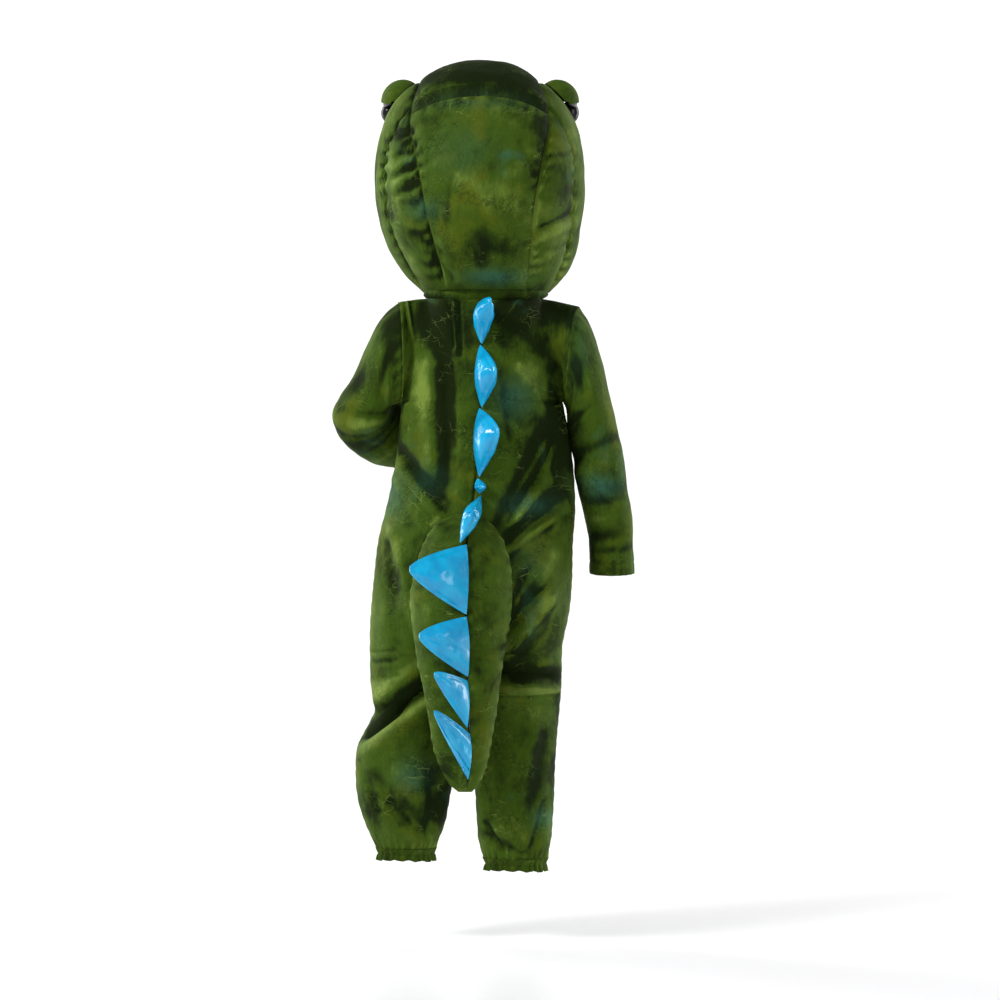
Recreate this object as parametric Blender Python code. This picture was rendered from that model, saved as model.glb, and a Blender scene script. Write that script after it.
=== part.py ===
"""Hooded dinosaur costume: one-piece suit, padded head, stuffed tail and a row of back spikes.

Metres, +Z up, +Y the way the suit faces. The origin is on the shoulder line, on the body's axis.
Tables and named sizes are in millimetres; MM turns them into metres.
"""
from collections import namedtuple
from math import pi

import bmesh
import bpy
import numpy as np
from mathutils import Vector
from mathutils.bvhtree import BVHTree

for old in list(bpy.data.objects):
    bpy.data.objects.remove(old, do_unlink=True)

MM = 0.001
CLOTH = 1.8  # wall of one layer of backed pile cloth
PADDING = 7.0  # wall of the padded hood before it is puffed or pinched
SEAM = 0.15  # each piece stops this far from the line it is sewn on
SLEEVE_SEAM = 0.4
SEAT = 0.3  # gap under what lies on a panel
REACH = 400.0  # length of the lines that find a surface

# Counts of mesh rows and columns
YOKE_ROWS = 10
TORSO_ROWS = 9
CROTCH_ROWS = 5
LEG_ROWS = 13
PANEL_COLUMNS = 10
HOOD_ROWS = 10
HOOD_COLUMNS = 10
GORE_COLUMNS = 4
GATHERS = 18
GATHER_STEPS = 4

# Body, measured down from the shoulder line
UNDERARM = 130.0
FORK_START = 381.0
FORK = 451.0
BODY_Y = 0.0
NECK_SHARE = 0.5  # part of a panel's width that is neckline, the rest is shoulder seam
NECK_HALF = 74.0
NECK_DEPTH = {-1: 44.0, 1: 58.0}
NECK_DROP = {-1: 4.0, 1: 14.0}
NECK_TOP = 2.0
NECK_TOP_HALF = 79.0
NECK_TOP_DEPTH = (54.0, 54.0)
NECK_TUCK = 3.0  # how far the band's top reaches up inside the foot of the head, at the back
SHOULDER_TIP = {-1: (-105.0, -2.0), 1: (128.0, -8.0)}
ARMHOLE_HALF = 45.0
ARMHOLE_INSET = 7.0

Section = namedtuple("Section", "depth centre left right back front")
TORSO = [
    Section(-20, 6, 103, 110, 74, 74),
    Section(130, 3, 103, 102, 78, 80),
    Section(160, 2, 105, 107, 79, 83),
    Section(190, 0, 106, 114, 80, 86),
    Section(220, -3, 107, 122, 81, 88),
    Section(266, -8, 112, 130, 84, 90),
    Section(312, -12, 119, 131, 88, 90),
    Section(358, -14, 122, 132, 91, 90),
    Section(404, -16, 124, 130, 92, 88),
    Section(451, -18, 123, 123, 92, 86),
    Section(500, -18, 122, 122, 92, 86),
]

LegRow = namedtuple("LegRow", "depth inner outer back front shift")
LEGS = {
    -1: [
        LegRow(451, -18.2, -141, 70, 72, 0),
        LegRow(497, -23, -139, 64, 70, 0),
        LegRow(522, -26, -134, 58, 66, 2),
        LegRow(545, -28, -144, 60, 66, 2),
        LegRow(566, -30, -155, 64, 66, 1),
        LegRow(600, -33, -159, 66, 65, 0),
        LegRow(635, -38, -157, 64, 62, 0),
        LegRow(665, -44, -149, 57, 54, 1),
        LegRow(686, -51, -140, 47, 45, 2),
        LegRow(700, -56, -133, 40, 39, 3),
    ],
    1: [
        LegRow(451, -17.8, 105, 70, 72, 0),
        LegRow(497, -13, 104, 62, 70, 0),
        LegRow(522, -11, 102, 58, 66, 0),
        LegRow(566, -9, 98, 58, 62, 0),
        LegRow(600, -8, 96, 58, 60, 0),
        LegRow(635, -6, 95, 57, 58, 0),
        LegRow(668, -4, 93, 53, 54, 1),
        LegRow(695, -1, 90, 47, 46, 2),
        LegRow(713, 4, 87, 42, 41, 3),
    ],
}
CASING_HEIGHT = 15.0
CASING_NIP = 0.93
CASING_FLARE = 1.03
GATHER_DEPTH = 1.5

# Folds as seen from the back (face -1) or the front (face 1); height is out of the cloth
Fold = namedtuple("Fold", "face x0 z0 x1 z1 width height")
FOLDS = [
    Fold(-1, -48, -70, -40, -232, 11, -8),
    Fold(-1, -66, -90, -62, -215, 12, 3),
    Fold(-1, -70, -12, -66, -60, 7, -3),
    Fold(-1, -101, -200, -44, -262, 10, -6),
    Fold(-1, -108, -226, -52, -282, 10, 4),
    Fold(-1, 92, -168, 30, -286, 13, -6),
    Fold(-1, 98, -262, 48, -304, 10, -9),
    Fold(-1, 84, -240, 40, -282, 9, 4),
    Fold(-1, 96, -96, 101, -210, 10, -5),
    Fold(-1, 36, -22, 82, -70, 12, -3),
    Fold(-1, -118, -330, -104, -430, 13, -4),
    Fold(-1, 98, -330, 78, -380, 10, 3),
    Fold(-1, 88, -388, 40, -446, 10, 5),
    Fold(-1, 66, -380, 28, -426, 9, -5),
    Fold(-1, -60, -486, -146, -548, 11, -10),
    Fold(-1, -66, -462, -138, -520, 15, 6),
    Fold(-1, -70, -520, -146, -582, 17, 6),
    Fold(-1, 22, -478, 90, -484, 11, -8),
    Fold(-1, 20, -500, 92, -502, 9, 5),
    Fold(-1, -126, -612, -74, -664, 11, -4),
    Fold(-1, -60, -604, -54, -662, 9, -4),
    Fold(-1, 8, -684, 50, -704, 7, -3),
    Fold(-1, 82, -560, 70, -640, 10, -4),
    Fold(1, -84, -150, -30, -226, 13, -5),
    Fold(1, 86, -160, 32, -250, 13, -5),
    Fold(1, 60, -250, 96, -296, 12, -5),
    Fold(1, -96, -330, -46, -382, 12, 4),
    Fold(1, 84, -372, 32, -424, 12, -5),
    Fold(1, -118, -500, -52, -532, 12, -7),
    Fold(1, 24, -494, 88, -520, 12, -7),
    Fold(1, -118, -590, -62, -640, 12, -4),
    Fold(1, 22, -600, 74, -652, 12, -4),
    Fold(1, -70, -30, -58, -110, 11, -3),
    Fold(1, 84, -34, 70, -116, 11, -3),
]

# Sleeves: the line over the elbow, the line in the crook, and the half width across them
Ring = namedtuple("Ring", "outer inner half")
SLEEVES = {
    -1: [
        Ring((-105, 0, -2), (-100, 0, -130), 45),
        Ring((-126, -2, -22), (-104, 2, -132), 45),
        Ring((-143, -5, -56), (-108, 8, -133), 42),
        Ring((-160, -8, -94), (-113, 14, -133), 38),
        Ring((-176, -11, -128), (-118, 19, -132), 35),
        Ring((-184, -9, -153), (-120, 25, -132), 34),
        Ring((-180, 10, -177), (-118, 32, -133), 33),
        Ring((-163, 38, -195), (-107, 42, -128), 31),
        Ring((-139, 62, -207), (-98, 58, -132), 29),
        Ring((-113, 84, -214), (-87, 79, -147), 27),
        Ring((-89, 102, -218), (-71, 97, -157), 26),
        Ring((-67, 118, -220), (-55, 111, -165), 25),
    ],
    1: [
        Ring((128, 0, -8), (105, 0, -130), 45),
        Ring((143, 1, -36), (109, 1, -137), 45),
        Ring((156, 2, -76), (111, 2, -146), 42),
        Ring((167, 3, -122), (112, 3, -166), 38),
        Ring((179, 4, -176), (118, 4, -202), 35),
        Ring((188, 5, -228), (123, 5, -238), 33),
        Ring((194, 8, -270), (134, 8, -276), 32),
        Ring((197, 12, -310), (139, 12, -314), 30),
        Ring((198, 16, -350), (141, 16, -350), 29),
    ],
}
SLEEVE_BLEND = (0.0, 0.5, 0.85)  # how soon the armhole's shape becomes a round sleeve
SLEEVE_STEPS = {-1: 18, 1: 14}

# Creases on the sleeves: place along the arm and round it, spans of both, and height
Crease = namedtuple("Crease", "side along turn length spread height")
CREASES = [
    Crease(-1, 0.30, 0.42, 0.05, 0.13, -4),
    Crease(-1, 0.44, 0.06, 0.03, 0.12, -2),
    Crease(-1, 0.52, 0.94, 0.03, 0.12, -2),
    Crease(-1, 0.58, 0.30, 0.04, 0.16, -4),
    Crease(-1, 0.72, 0.36, 0.03, 0.14, 3),
    Crease(1, 0.20, 0.30, 0.08, 0.08, -4),
    Crease(1, 0.52, 0.10, 0.04, 0.14, -4),
    Crease(1, 0.66, 0.34, 0.03, 0.14, -3),
    Crease(1, 0.84, 0.20, 0.03, 0.16, -3),
]

# Padded head, a rounded form about a point; its profile turns from the back over the top
HEAD_Y = 10.0
HEAD_Z = 155.0
HEAD_HALF = 132.0
HEAD_ROUND = 2.2
NECK_LINE = 10.0  # height at which the head's panels end
LEAN = 8.0  # the head's foot stands this far to the right
LEAN_HEIGHT = 110.0
Profile = namedtuple("Profile", "turn radius")
PROFILE = [
    Profile(-90, 175),
    Profile(-70, 161),
    Profile(-45, 148),
    Profile(-20, 138),
    Profile(0, 134),
    Profile(30, 139),
    Profile(60, 146),
    Profile(90, 150),
    Profile(110, 150),
    Profile(130, 157),
    Profile(146, 174),
    Profile(160, 184),
    Profile(172, 170),
    Profile(186, 146),
    Profile(205, 136),
    Profile(225, 144),
    Profile(250, 162),
    Profile(270, 175),
]
Strip = namedtuple("Strip", "turn half")
CENTRE_STRIP = [
    Strip(-80, 47),
    Strip(-50, 60),
    Strip(-20, 71),
    Strip(10, 82),
    Strip(34, 90),
    Strip(50, 88),
    Strip(75, 79),
    Strip(100, 76),
    Strip(130, 70),
    Strip(155, 62),
    Strip(172, 54),
]
CROWN_SEAM = 43.0  # turn at which the crown is joined to the back of the head
BROW = 172.0  # turn at which the crown ends over the face
GORE_TOP = 0.05  # share of the crown's edge that the gore takes
SidePoint = namedtuple("SidePoint", "y z")
GORE_SEAM = [SidePoint(0, 10), SidePoint(-28, 62), SidePoint(-48, 130), SidePoint(-50, 186)]
FACE_EDGE = [SidePoint(60, 10), SidePoint(84, 50), SidePoint(93, 96), SidePoint(108, 136)]
PUFF = 6.0
PINCH = -3.0
PUFF_RUN = 14.0  # distance from a seam over which the padding fills out
NECK_RUN = 22.0

# Eyes sit on the head's sides ahead of the crown
EYE_RADIUS = 14.0
EYE_RISE = 13.0
EYE_SHIFT = 22.0  # from the lid's middle towards its mouth
LID_Y = 26.0
LID_Z = 258.0
LID_AIM = (0.7, 0.45, -0.55)
LID_RADIUS = 28.0
LID_RISE = 0.95  # height of the lid's dome as a share of its radius
LID_ROWS = 7
LID_STEPS = 9
EYE_SEAT = 0.8
LID_SEAT = 0.1
LID_WALL = 2.4
LINING_WALL = 1.0
LID_SWEEP = 2.15  # radians the lid is drawn over the eye

# Underlap of the back opening, under the left back panel
PLACKET_LEFT = 3  # columns of the left panel that it underlies
PLACKET_RIGHT = 1
PLACKET_ROWS = 14
PLACKET_GAP = 0.5

# Tail: row by row down the back
TailRow = namedtuple("TailRow", "z left right ridge back front away")
TAIL = [
    TailRow(-274, -32, -2, -15, 5, 0, 0),
    TailRow(-283, -50, 12, -15, 13, 0, 0),
    TailRow(-297, -63, 24, -15, 21, 0, 0),
    TailRow(-318, -73, 33, -16, 29, 0, 0),
    TailRow(-345, -81, 39, -16, 35, 0, 0),
    TailRow(-374, -87, 41, -17, 39, 0, 0),
    TailRow(-402, -86, 39, -17, 41, 3, 1),
    TailRow(-430, -82, 34, -16, 41, 9, 7),
    TailRow(-460, -77, 29, -15, 39, 15, 14),
    TailRow(-492, -70, 25, -14, 37, 17, 17),
    TailRow(-527, -64, 20, -13, 33, 17, 18),
    TailRow(-560, -58, 14, -12, 28, 15, 18),
    TailRow(-590, -49, 8, -13, 22, 12, 18),
    TailRow(-610, -38, -1, -15, 14, 8, 18),
    TailRow(-620, -27, -9, -17, 6, 4, 18),
]
TAIL_FREE_Y = -92.0  # middle of the tail's edge where it hangs clear of the seat
TAIL_STEPS = 7
TAIL_SPREAD = 9.0
TAIL_SEAT = 0.9

# Spikes: base line top and bottom, tip, how far the tip stands out, and thickness
Spike = namedtuple("Spike", "top_x top_z low_x low_z tip_x tip_z out thick bow")
SPIKES = [
    Spike(-1, -6, 3, -60, 15, -6, 44, 32, 8),
    Spike(1, -61, 3, -140, 21, -96, 46, 33, 8),
    Spike(0, -141, 0, -227, 25, -172, 48, 34, 8),
    Spike(-2, -229, 0, -248, 7, -240, 22, 18, 3),
    Spike(2, -250, -24, -309, -7, -268, 34, 26, 5),
    Spike(-16, -311, -16, -398, -87, -341, 36, 22, 8),
    Spike(-16, -400, -14, -475, -75, -423, 34, 22, 8),
    Spike(-15, -479, -15, -538, -56, -469, 38, 14, 7),
    Spike(-12, -545, -14, -603, -56, -515, 46, 15, 4),
]
SPIKE_LEVELS = 6
SPIKE_STEPS = 6
SPIKE_BASE = 4.0
SPIKE_LEAF = 0.66  # how slowly a spike narrows from its foot; 1 is a straight-sided spike
SPIKE_SEAT = 0.5
SPIKE_CLEAR = 2.2
SPREAD = 9.0  # what is seated clears the surface this far round each of its points

GREEN = (0.085, 0.15, 0.03, 1.0)
DARK_GREEN = (0.05, 0.09, 0.02, 1.0)
BLUE = (0.0, 0.27, 0.68, 1.0)
BLACK = (0.006, 0.006, 0.007, 1.0)


def look(name, colour, roughness):
    material = bpy.data.materials.new(name)
    material.use_nodes = True
    shader = material.node_tree.nodes["Principled BSDF"]
    shader.inputs["Base Color"].default_value = colour
    shader.inputs["Roughness"].default_value = roughness
    shader.inputs["Metallic"].default_value = 0.0
    material.diffuse_color = colour
    return material


def add_mesh(name, points, faces, colour, roughness):
    mesh = bpy.data.meshes.new(name)
    mesh.from_pydata((np.asarray(points) * MM).tolist(), [], faces)
    shape = bmesh.new()
    shape.from_mesh(mesh)
    bmesh.ops.recalc_face_normals(shape, faces=shape.faces)
    shape.to_mesh(mesh)
    shape.free()
    for face in mesh.polygons:
        face.use_smooth = True
    mesh.materials.append(look(name, colour, roughness))
    part = bpy.data.objects.new(name, mesh)
    bpy.context.collection.objects.link(part)
    return part


def curve(at, table, across, along):
    """Smooth line through one column of a table, read at another of its columns."""
    xs = np.array([getattr(row, across) for row in table], float)
    ys = np.array([getattr(row, along) for row in table], float)
    return smooth(at, xs, ys)


def smooth(at, xs, ys):
    slopes = np.gradient(ys, xs, axis=0)
    place = np.clip(np.searchsorted(xs, at, side="right") - 1, 0, len(xs) - 2)
    step = xs[place + 1] - xs[place]
    t = np.clip((at - xs[place]) / step, 0.0, 1.0)
    if ys.ndim > 1:
        t = t[..., None]
        step = step[..., None]
    start = (1 + 2 * t) * (1 - t) ** 2 * ys[place] + t * (1 - t) ** 2 * step * slopes[place]
    end = t * t * (3 - 2 * t) * ys[place + 1] - t * t * (1 - t) * step * slopes[place + 1]
    return start + end


def unit(vectors):
    return vectors / np.maximum(np.linalg.norm(vectors, axis=-1, keepdims=True), 1e-9)


def grid_normals(grid, wrap=False):
    down = np.gradient(grid, axis=0)
    across = np.gradient(grid, axis=1)
    if wrap:
        across = np.roll(grid, -1, 1) - np.roll(grid, 1, 1)
    return unit(np.cross(across, down))


def grid_faces(rows, columns, wrap, start, turned):
    """Triangles of a grid, cut along the same diagonal on both sides of a wall."""
    faces = []
    for row in range(rows - 1):
        for column in range(columns if wrap else columns - 1):
            near = start + row * columns + column
            beside = start + row * columns + (column + 1) % columns
            for face in ([near, beside, beside + columns], [near, beside + columns, near + columns]):
                faces.append(face[::-1] if turned else face)
    return faces


def wall_mesh(outer, inner, wrap=False):
    """Closed shell between two grids of points, with a rim all round."""
    rows, columns = outer.shape[:2]
    count = rows * columns
    faces = grid_faces(rows, columns, wrap, 0, False)
    faces += grid_faces(rows, columns, wrap, count, True)
    last = columns if wrap else columns - 1
    for row in (0, (rows - 1) * columns):
        for column in range(last):
            near = row + column
            far = row + (column + 1) % columns
            faces.append([near, far, far + count, near + count])
    if not wrap:
        for row in range(rows - 1):
            for column in (0, columns - 1):
                near = row * columns + column
                far = near + columns
                faces.append([near, far, far + count, near + count])
    points = np.concatenate([outer.reshape(-1, 3), inner.reshape(-1, 3)])
    return points, faces


def surface(grids):
    """Search tree over the outer faces of several grids."""
    points = []
    faces = []
    for grid in grids:
        faces += grid_faces(grid.shape[0], grid.shape[1], False, len(points), False)
        points += [Vector(point) for point in grid.reshape(-1, 3)]
    return BVHTree.FromPolygons(points, faces)


def back_at(tree, x, z, fallback, spread=0.0):
    """Depth of the suit's back seen from behind, at its nearest within a small spread."""
    found = []
    for dx, dz in ((0, 0), (spread, 0), (-spread, 0), (0, spread), (0, -spread)):
        hit = tree.ray_cast(Vector((x + dx, -REACH, z + dz)), Vector((0, 1, 0)))[0]
        if hit is not None:
            found.append(hit.y)
    return min(found) if found else fallback


def trim(grid, edges, gap):
    """Draw the named edges of a grid in along the cloth."""
    moved = grid.copy()
    sides = {"top": (0, 1, 0), "low": (-1, -2, 0), "start": (0, 1, 1), "end": (-1, -2, 1)}
    for edge in edges:
        place, beside, axis = sides[edge]
        line = np.take(grid, place, axis)
        step = unit(np.take(grid, beside, axis) - line) * gap
        if axis == 0:
            moved[place] += step
        else:
            moved[:, place] += step
    return moved


def fade(value):
    value = np.clip(value, 0.0, 1.0)
    return value * value * (3 - 2 * value)


def folds_at(face, x, z):
    """Sum of the soft folds at points seen from the back or the front."""
    total = np.zeros_like(x)
    for fold in FOLDS:
        if fold.face != face:
            continue
        run = np.array([fold.x1 - fold.x0, fold.z1 - fold.z0], float)
        length = np.hypot(*run)
        along = ((x - fold.x0) * run[0] + (z - fold.z0) * run[1]) / length
        aside = ((x - fold.x0) * run[1] - (z - fold.z0) * run[0]) / length
        past = np.maximum(0, np.maximum(-along, along - length))
        total += fold.height * np.exp(-((aside / fold.width) ** 2) - (past / (1.4 * fold.width)) ** 2)
    return total


def torso_row(side, face, u, depth):
    angle = u * pi / 2
    half = curve(depth, TORSO, "depth", "left" if side < 0 else "right")
    reach = curve(depth, TORSO, "depth", "back" if face < 0 else "front")
    x = curve(depth, TORSO, "depth", "centre") + side * half * np.sin(angle)
    y = BODY_Y + face * reach * np.cos(angle)
    return np.stack([x, y, np.full_like(u, -depth)], -1)


def leg_row(side, face, u, depth):
    table = LEGS[side]
    inner = curve(depth, table, "depth", "inner")
    outer = curve(depth, table, "depth", "outer")
    reach = curve(depth, table, "depth", "back" if face < 0 else "front")
    shift = curve(depth, table, "depth", "shift")
    x = (inner + outer) / 2 - (outer - inner) / 2 * np.cos(pi * u)
    y = BODY_Y + shift + face * reach * np.sin(pi * u)
    return np.stack([x, y, np.full_like(u, -depth)], -1)


def top_edge(side, face, u):
    """Neckline, then the shoulder seam out to its tip."""
    centre = curve(np.zeros_like(u), TORSO, "depth", "centre")
    angle = np.clip(u / NECK_SHARE, 0, 1) * pi / 2
    neck = np.stack(
        [
            centre + side * NECK_HALF * np.sin(angle),
            BODY_Y + face * NECK_DEPTH[face] * np.cos(angle),
            NECK_TOP - NECK_DROP[face] * np.cos(angle) ** 2,
        ],
        -1,
    )
    share = np.clip((u - NECK_SHARE) / (1 - NECK_SHARE), 0, 1)[:, None]
    tip_x, tip_z = SHOULDER_TIP[side]
    return neck * (1 - share) + np.array([tip_x, BODY_Y, tip_z]) * share


def yoke_row(side, face, u, share):
    """Row between the top edge and the underarm, ending on the armhole."""
    top = top_edge(side, face, u)
    low = torso_row(side, face, u, UNDERARM)
    turn = share * pi / 2
    sweep = (1 - np.cos(pi * share)) / 2
    hold = u**3
    x = top[:, 0] + (low[:, 0] - top[:, 0]) * share
    x = x - side * ARMHOLE_INSET * hold * np.sin(pi * share)
    y = top[:, 1] + (low[:, 1] - top[:, 1]) * np.sin(turn)
    y = (1 - hold) * y + hold * (BODY_Y + face * ARMHOLE_HALF * np.sin(pi * share))
    z = top[:, 2] + (low[:, 2] - top[:, 2]) * (1 - np.cos(turn))
    z = (1 - hold) * z + hold * (top[:, 2] + (low[:, 2] - top[:, 2]) * sweep)
    return np.stack([x, y, z], -1)


def panel(side, face):
    """One quarter of the suit from neck and shoulder to ankle: outer points and their normals."""
    u = np.linspace(0, 1, PANEL_COLUMNS + 1)
    rows = [yoke_row(side, face, u, share) for share in np.linspace(0, 1, YOKE_ROWS + 1)]
    rows += [torso_row(side, face, u, d) for d in np.linspace(UNDERARM, FORK_START, TORSO_ROWS + 1)[1:]]
    for angle in np.linspace(0, pi / 2, CROTCH_ROWS + 1)[1:]:
        depth = FORK_START + (FORK - FORK_START) * np.sin(angle)
        share = 1 - np.cos(angle)
        flat = torso_row(side, face, u, depth)
        rows.append((1 - share) * flat + share * leg_row(side, face, u, depth))
    ankle = LEGS[side][-1].depth
    rows += [leg_row(side, face, u, d) for d in np.linspace(FORK, ankle, LEG_ROWS + 1)[1:]]
    base = np.array(rows)
    fork = YOKE_ROWS + TORSO_ROWS + CROTCH_ROWS
    normals = grid_normals(base) * side * face
    normals[: fork + 1, 0, 0] = 0
    normals[fork, 0] = (0, 0, -1)
    normals[YOKE_ROWS:, -1, 1] = 0
    normals[fork + 1 :, 0, 1] = 0
    normals[0, u >= NECK_SHARE, 1] = 0
    normals = unit(normals)
    offset = folds_at(face, base[..., 0], base[..., 2])
    offset *= fade((1 - u) / 0.16)
    offset[fork + 1 :] *= fade(u / 0.14)
    offset *= fade((base[..., 2] + ankle) / 12.0)
    return base + normals * offset[..., None], normals


def quarters():
    """Outer points and normals of the four cut panels, by side and face."""
    return {(side, face): panel(side, face) for side in (-1, 1) for face in (-1, 1)}


def body(grids):
    for side, end in ((-1, "left"), (1, "right")):
        for face, front in ((-1, "back"), (1, "front")):
            outer, normals = grids[side, face]
            edges = ("top", "low", "start", "end")
            cut = trim(outer, edges, SEAM)
            inside = trim(outer - normals * CLOTH, edges, SEAM)
            fork = YOKE_ROWS + TORSO_ROWS + CROTCH_ROWS
            for layer in (cut, inside):
                layer[: fork + 1, 0, 0] += side * SEAM
            points, faces = wall_mesh(cut, inside)
            add_mesh(front + "_" + end, points, faces, GREEN, 0.85)


def armhole(grids, side):
    """Armhole line from the underarm over the back to the shoulder tip and down the front."""
    lines = []
    for part in (0, 1):
        back = grids[side, -1][part][: YOKE_ROWS + 1, -1][::-1]
        front = grids[side, 1][part][: YOKE_ROWS + 1, -1]
        lines.append(np.concatenate([back, front[1:-1]]))
    return lines[0], unit(lines[1])


def sleeve_points(side, loop, steps):
    """Rings of the sleeve, from the armhole to the cuff."""
    table = SLEEVES[side]
    knots = np.arange(len(table), dtype=float)
    at = np.linspace(0, len(table) - 1, steps + 1)
    outer = smooth(at, knots, np.array([ring.outer for ring in table], float))
    inner = smooth(at, knots, np.array([ring.inner for ring in table], float))
    half = smooth(at, knots, np.array([ring.half for ring in table], float))
    middle = (outer + inner) / 2
    path = unit(np.gradient(middle, axis=0))
    path[0] = (side, 0, 0)
    spread = unit(outer - inner)
    back = unit(np.cross(path, spread)) * side
    angle = np.arange(len(loop)) * 2 * pi / len(loop)
    radius = np.linalg.norm(outer - inner, axis=-1) / 2
    rings = middle[:, None] - np.cos(angle)[None, :, None] * (spread * radius[:, None])[:, None]
    rings = rings + np.sin(angle)[None, :, None] * (back * half[:, None])[:, None]
    blend = np.interp(at, np.arange(len(SLEEVE_BLEND) + 1), SLEEVE_BLEND + (1.0,))
    share = ((1 - np.cos(angle)) / 2)[None, :, None]
    start = loop[None] + (inner - inner[0])[:, None] * (1 - share) + (outer - outer[0])[:, None] * share
    return start * (1 - blend[:, None, None]) + rings * blend[:, None, None]


def creases_at(side, along, turn):
    total = np.zeros(np.broadcast(along, turn).shape)
    for crease in CREASES:
        if crease.side != side:
            continue
        round_it = (turn - crease.turn + 0.5) % 1.0 - 0.5
        span = ((along - crease.along) / crease.length) ** 2 + (round_it / crease.spread) ** 2
        total += crease.height * np.exp(-span)
    return total


def sleeve(grids, side):
    """Set-in sleeve; at the armhole its wall and the panels' walls turn by the same angle."""
    loop, loop_normals = armhole(grids, side)
    base = sleeve_points(side, loop, SLEEVE_STEPS[side])
    normals = -side * grid_normals(base, True)
    shared = unit(loop_normals + normals[0])
    normals[0] = shared
    grids[side, -1][1][: YOKE_ROWS + 1, -1] = shared[YOKE_ROWS::-1]
    grids[side, 1][1][: YOKE_ROWS + 1, -1] = np.concatenate([shared[YOKE_ROWS:], shared[:1]])
    along = np.linspace(0, 1, len(base))[:, None]
    turn = np.arange(len(loop))[None] / len(loop)
    offset = creases_at(side, along, turn) * fade(along / 0.12)
    outer = base + normals * offset[..., None]
    inner = trim(outer - normals * CLOTH, ("top",), SLEEVE_SEAM)
    points, faces = wall_mesh(trim(outer, ("top",), SLEEVE_SEAM), inner, True)
    add_mesh("sleeve_left" if side < 0 else "sleeve_right", points, faces, GREEN, 0.85)


def casing(side):
    """Gathered elastic hem of one ankle."""
    row = LEGS[side][-1]
    count = GATHERS * GATHER_STEPS
    turn = np.arange(count) * 2 * pi / count
    middle = (row.inner + row.outer) / 2
    half = abs(row.outer - row.inner) / 2
    outer = []
    inner = []
    for share, scale, depth in (
        (0.0, 1.0, 0.15),
        (0.45, CASING_NIP, 1.0),
        (1.0, CASING_FLARE, 1.25),
    ):
        ripple = np.cos(GATHERS * turn + 0.7 * np.sin(3 * turn)) * GATHER_DEPTH * depth
        deep = np.where(np.cos(turn) < 0, row.back, row.front)
        z = np.full(count, -row.depth - 2 * SEAM - share * CASING_HEIGHT)
        z += (share > 0.9) * 1.2 * np.sin(2 * turn + 1.0)
        for ring, wall in ((outer, 0.0), (inner, CLOTH)):
            x = middle + (half * scale + ripple - wall) * np.sin(turn)
            y = BODY_Y + row.shift + (deep * scale + ripple - wall) * np.cos(turn)
            ring.append(np.stack([x, y, z], -1))
    points, faces = wall_mesh(np.array(outer), np.array(inner), True)
    add_mesh("ankle_casing_left" if side < 0 else "ankle_casing_right", points, faces, GREEN, 0.85)


def head_radius(turn):
    return curve(turn, PROFILE, "turn", "radius")


def head_share(x):
    """Share of the profile's radius that is left at a distance from the middle."""
    return (1 - np.abs(x / HEAD_HALF) ** HEAD_ROUND) ** (1 / HEAD_ROUND)


def lean(z):
    return LEAN * fade(1 - (z - NECK_LINE) / LEAN_HEIGHT)


def head_level(points):
    """Value that is 1 on the head's form, less inside it."""
    away = points[..., 1] - HEAD_Y
    up = points[..., 2] - HEAD_Z
    turn = np.degrees(np.arctan2(up, -away))
    turn = np.where(turn < -90, turn + 360, turn)
    reach = np.hypot(away, up) / head_radius(turn)
    return reach**HEAD_ROUND + np.abs(points[..., 0] / HEAD_HALF) ** HEAD_ROUND


def head_normals(points):
    slopes = []
    for axis in range(3):
        step = np.zeros(3)
        step[axis] = 0.5
        slopes.append(head_level(points + step) - head_level(points - step))
    return unit(np.stack(slopes, -1))


def head_side(side, y, z):
    """Point of the head's side over a place in its side view."""
    away = y - HEAD_Y
    up = z - HEAD_Z
    turn = np.degrees(np.arctan2(up, -away))
    turn = np.where(turn < -90, turn + 360, turn)
    reach = np.clip(np.hypot(away, up) / head_radius(turn), 0, 0.9999)
    x = HEAD_HALF * (1 - reach**HEAD_ROUND) ** (1 / HEAD_ROUND)
    return np.stack([side * x, y, z], -1)


def first_turn(x):
    """Turn at which the back of the head meets the neck line."""
    turns = np.linspace(-90, -45, 200)
    found = []
    for value in np.atleast_1d(x):
        heights = HEAD_Z + head_share(value) * head_radius(turns) * np.sin(np.radians(turns))
        found.append(np.interp(NECK_LINE, heights, turns))
    return np.array(found)


def strip_row(turn, share):
    """Row of the head's centre strip; share runs from -1 at one seam to 1 at the other."""
    x = share * curve(turn, CENTRE_STRIP, "turn", "half")
    reach = head_share(x) * head_radius(turn)
    angle = np.radians(turn)
    return np.stack([x, HEAD_Y - reach * np.cos(angle), HEAD_Z + reach * np.sin(angle)], -1)


def back_strip(t, share):
    share = np.atleast_1d(share)
    rough = curve(-75.0, CENTRE_STRIP, "turn", "half")
    low = first_turn(share * rough)
    turn = low + (CROWN_SEAM - low) * t
    return strip_row(turn, share)


def crown_strip(t, share):
    share = np.atleast_1d(share)
    turn = np.full_like(share, CROWN_SEAM + (BROW - CROWN_SEAM) * t)
    return strip_row(turn, share)


def crown_stops():
    return np.concatenate([[0.0], np.linspace(GORE_TOP, 1.0, HOOD_ROWS + 1)])


def bent_edge(points, count):
    """Even points on the smooth line through a few places of the side view."""
    knots = np.linspace(0, 1, len(points))
    return smooth(np.linspace(0, 1, count), knots, np.array(points, float))


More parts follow.
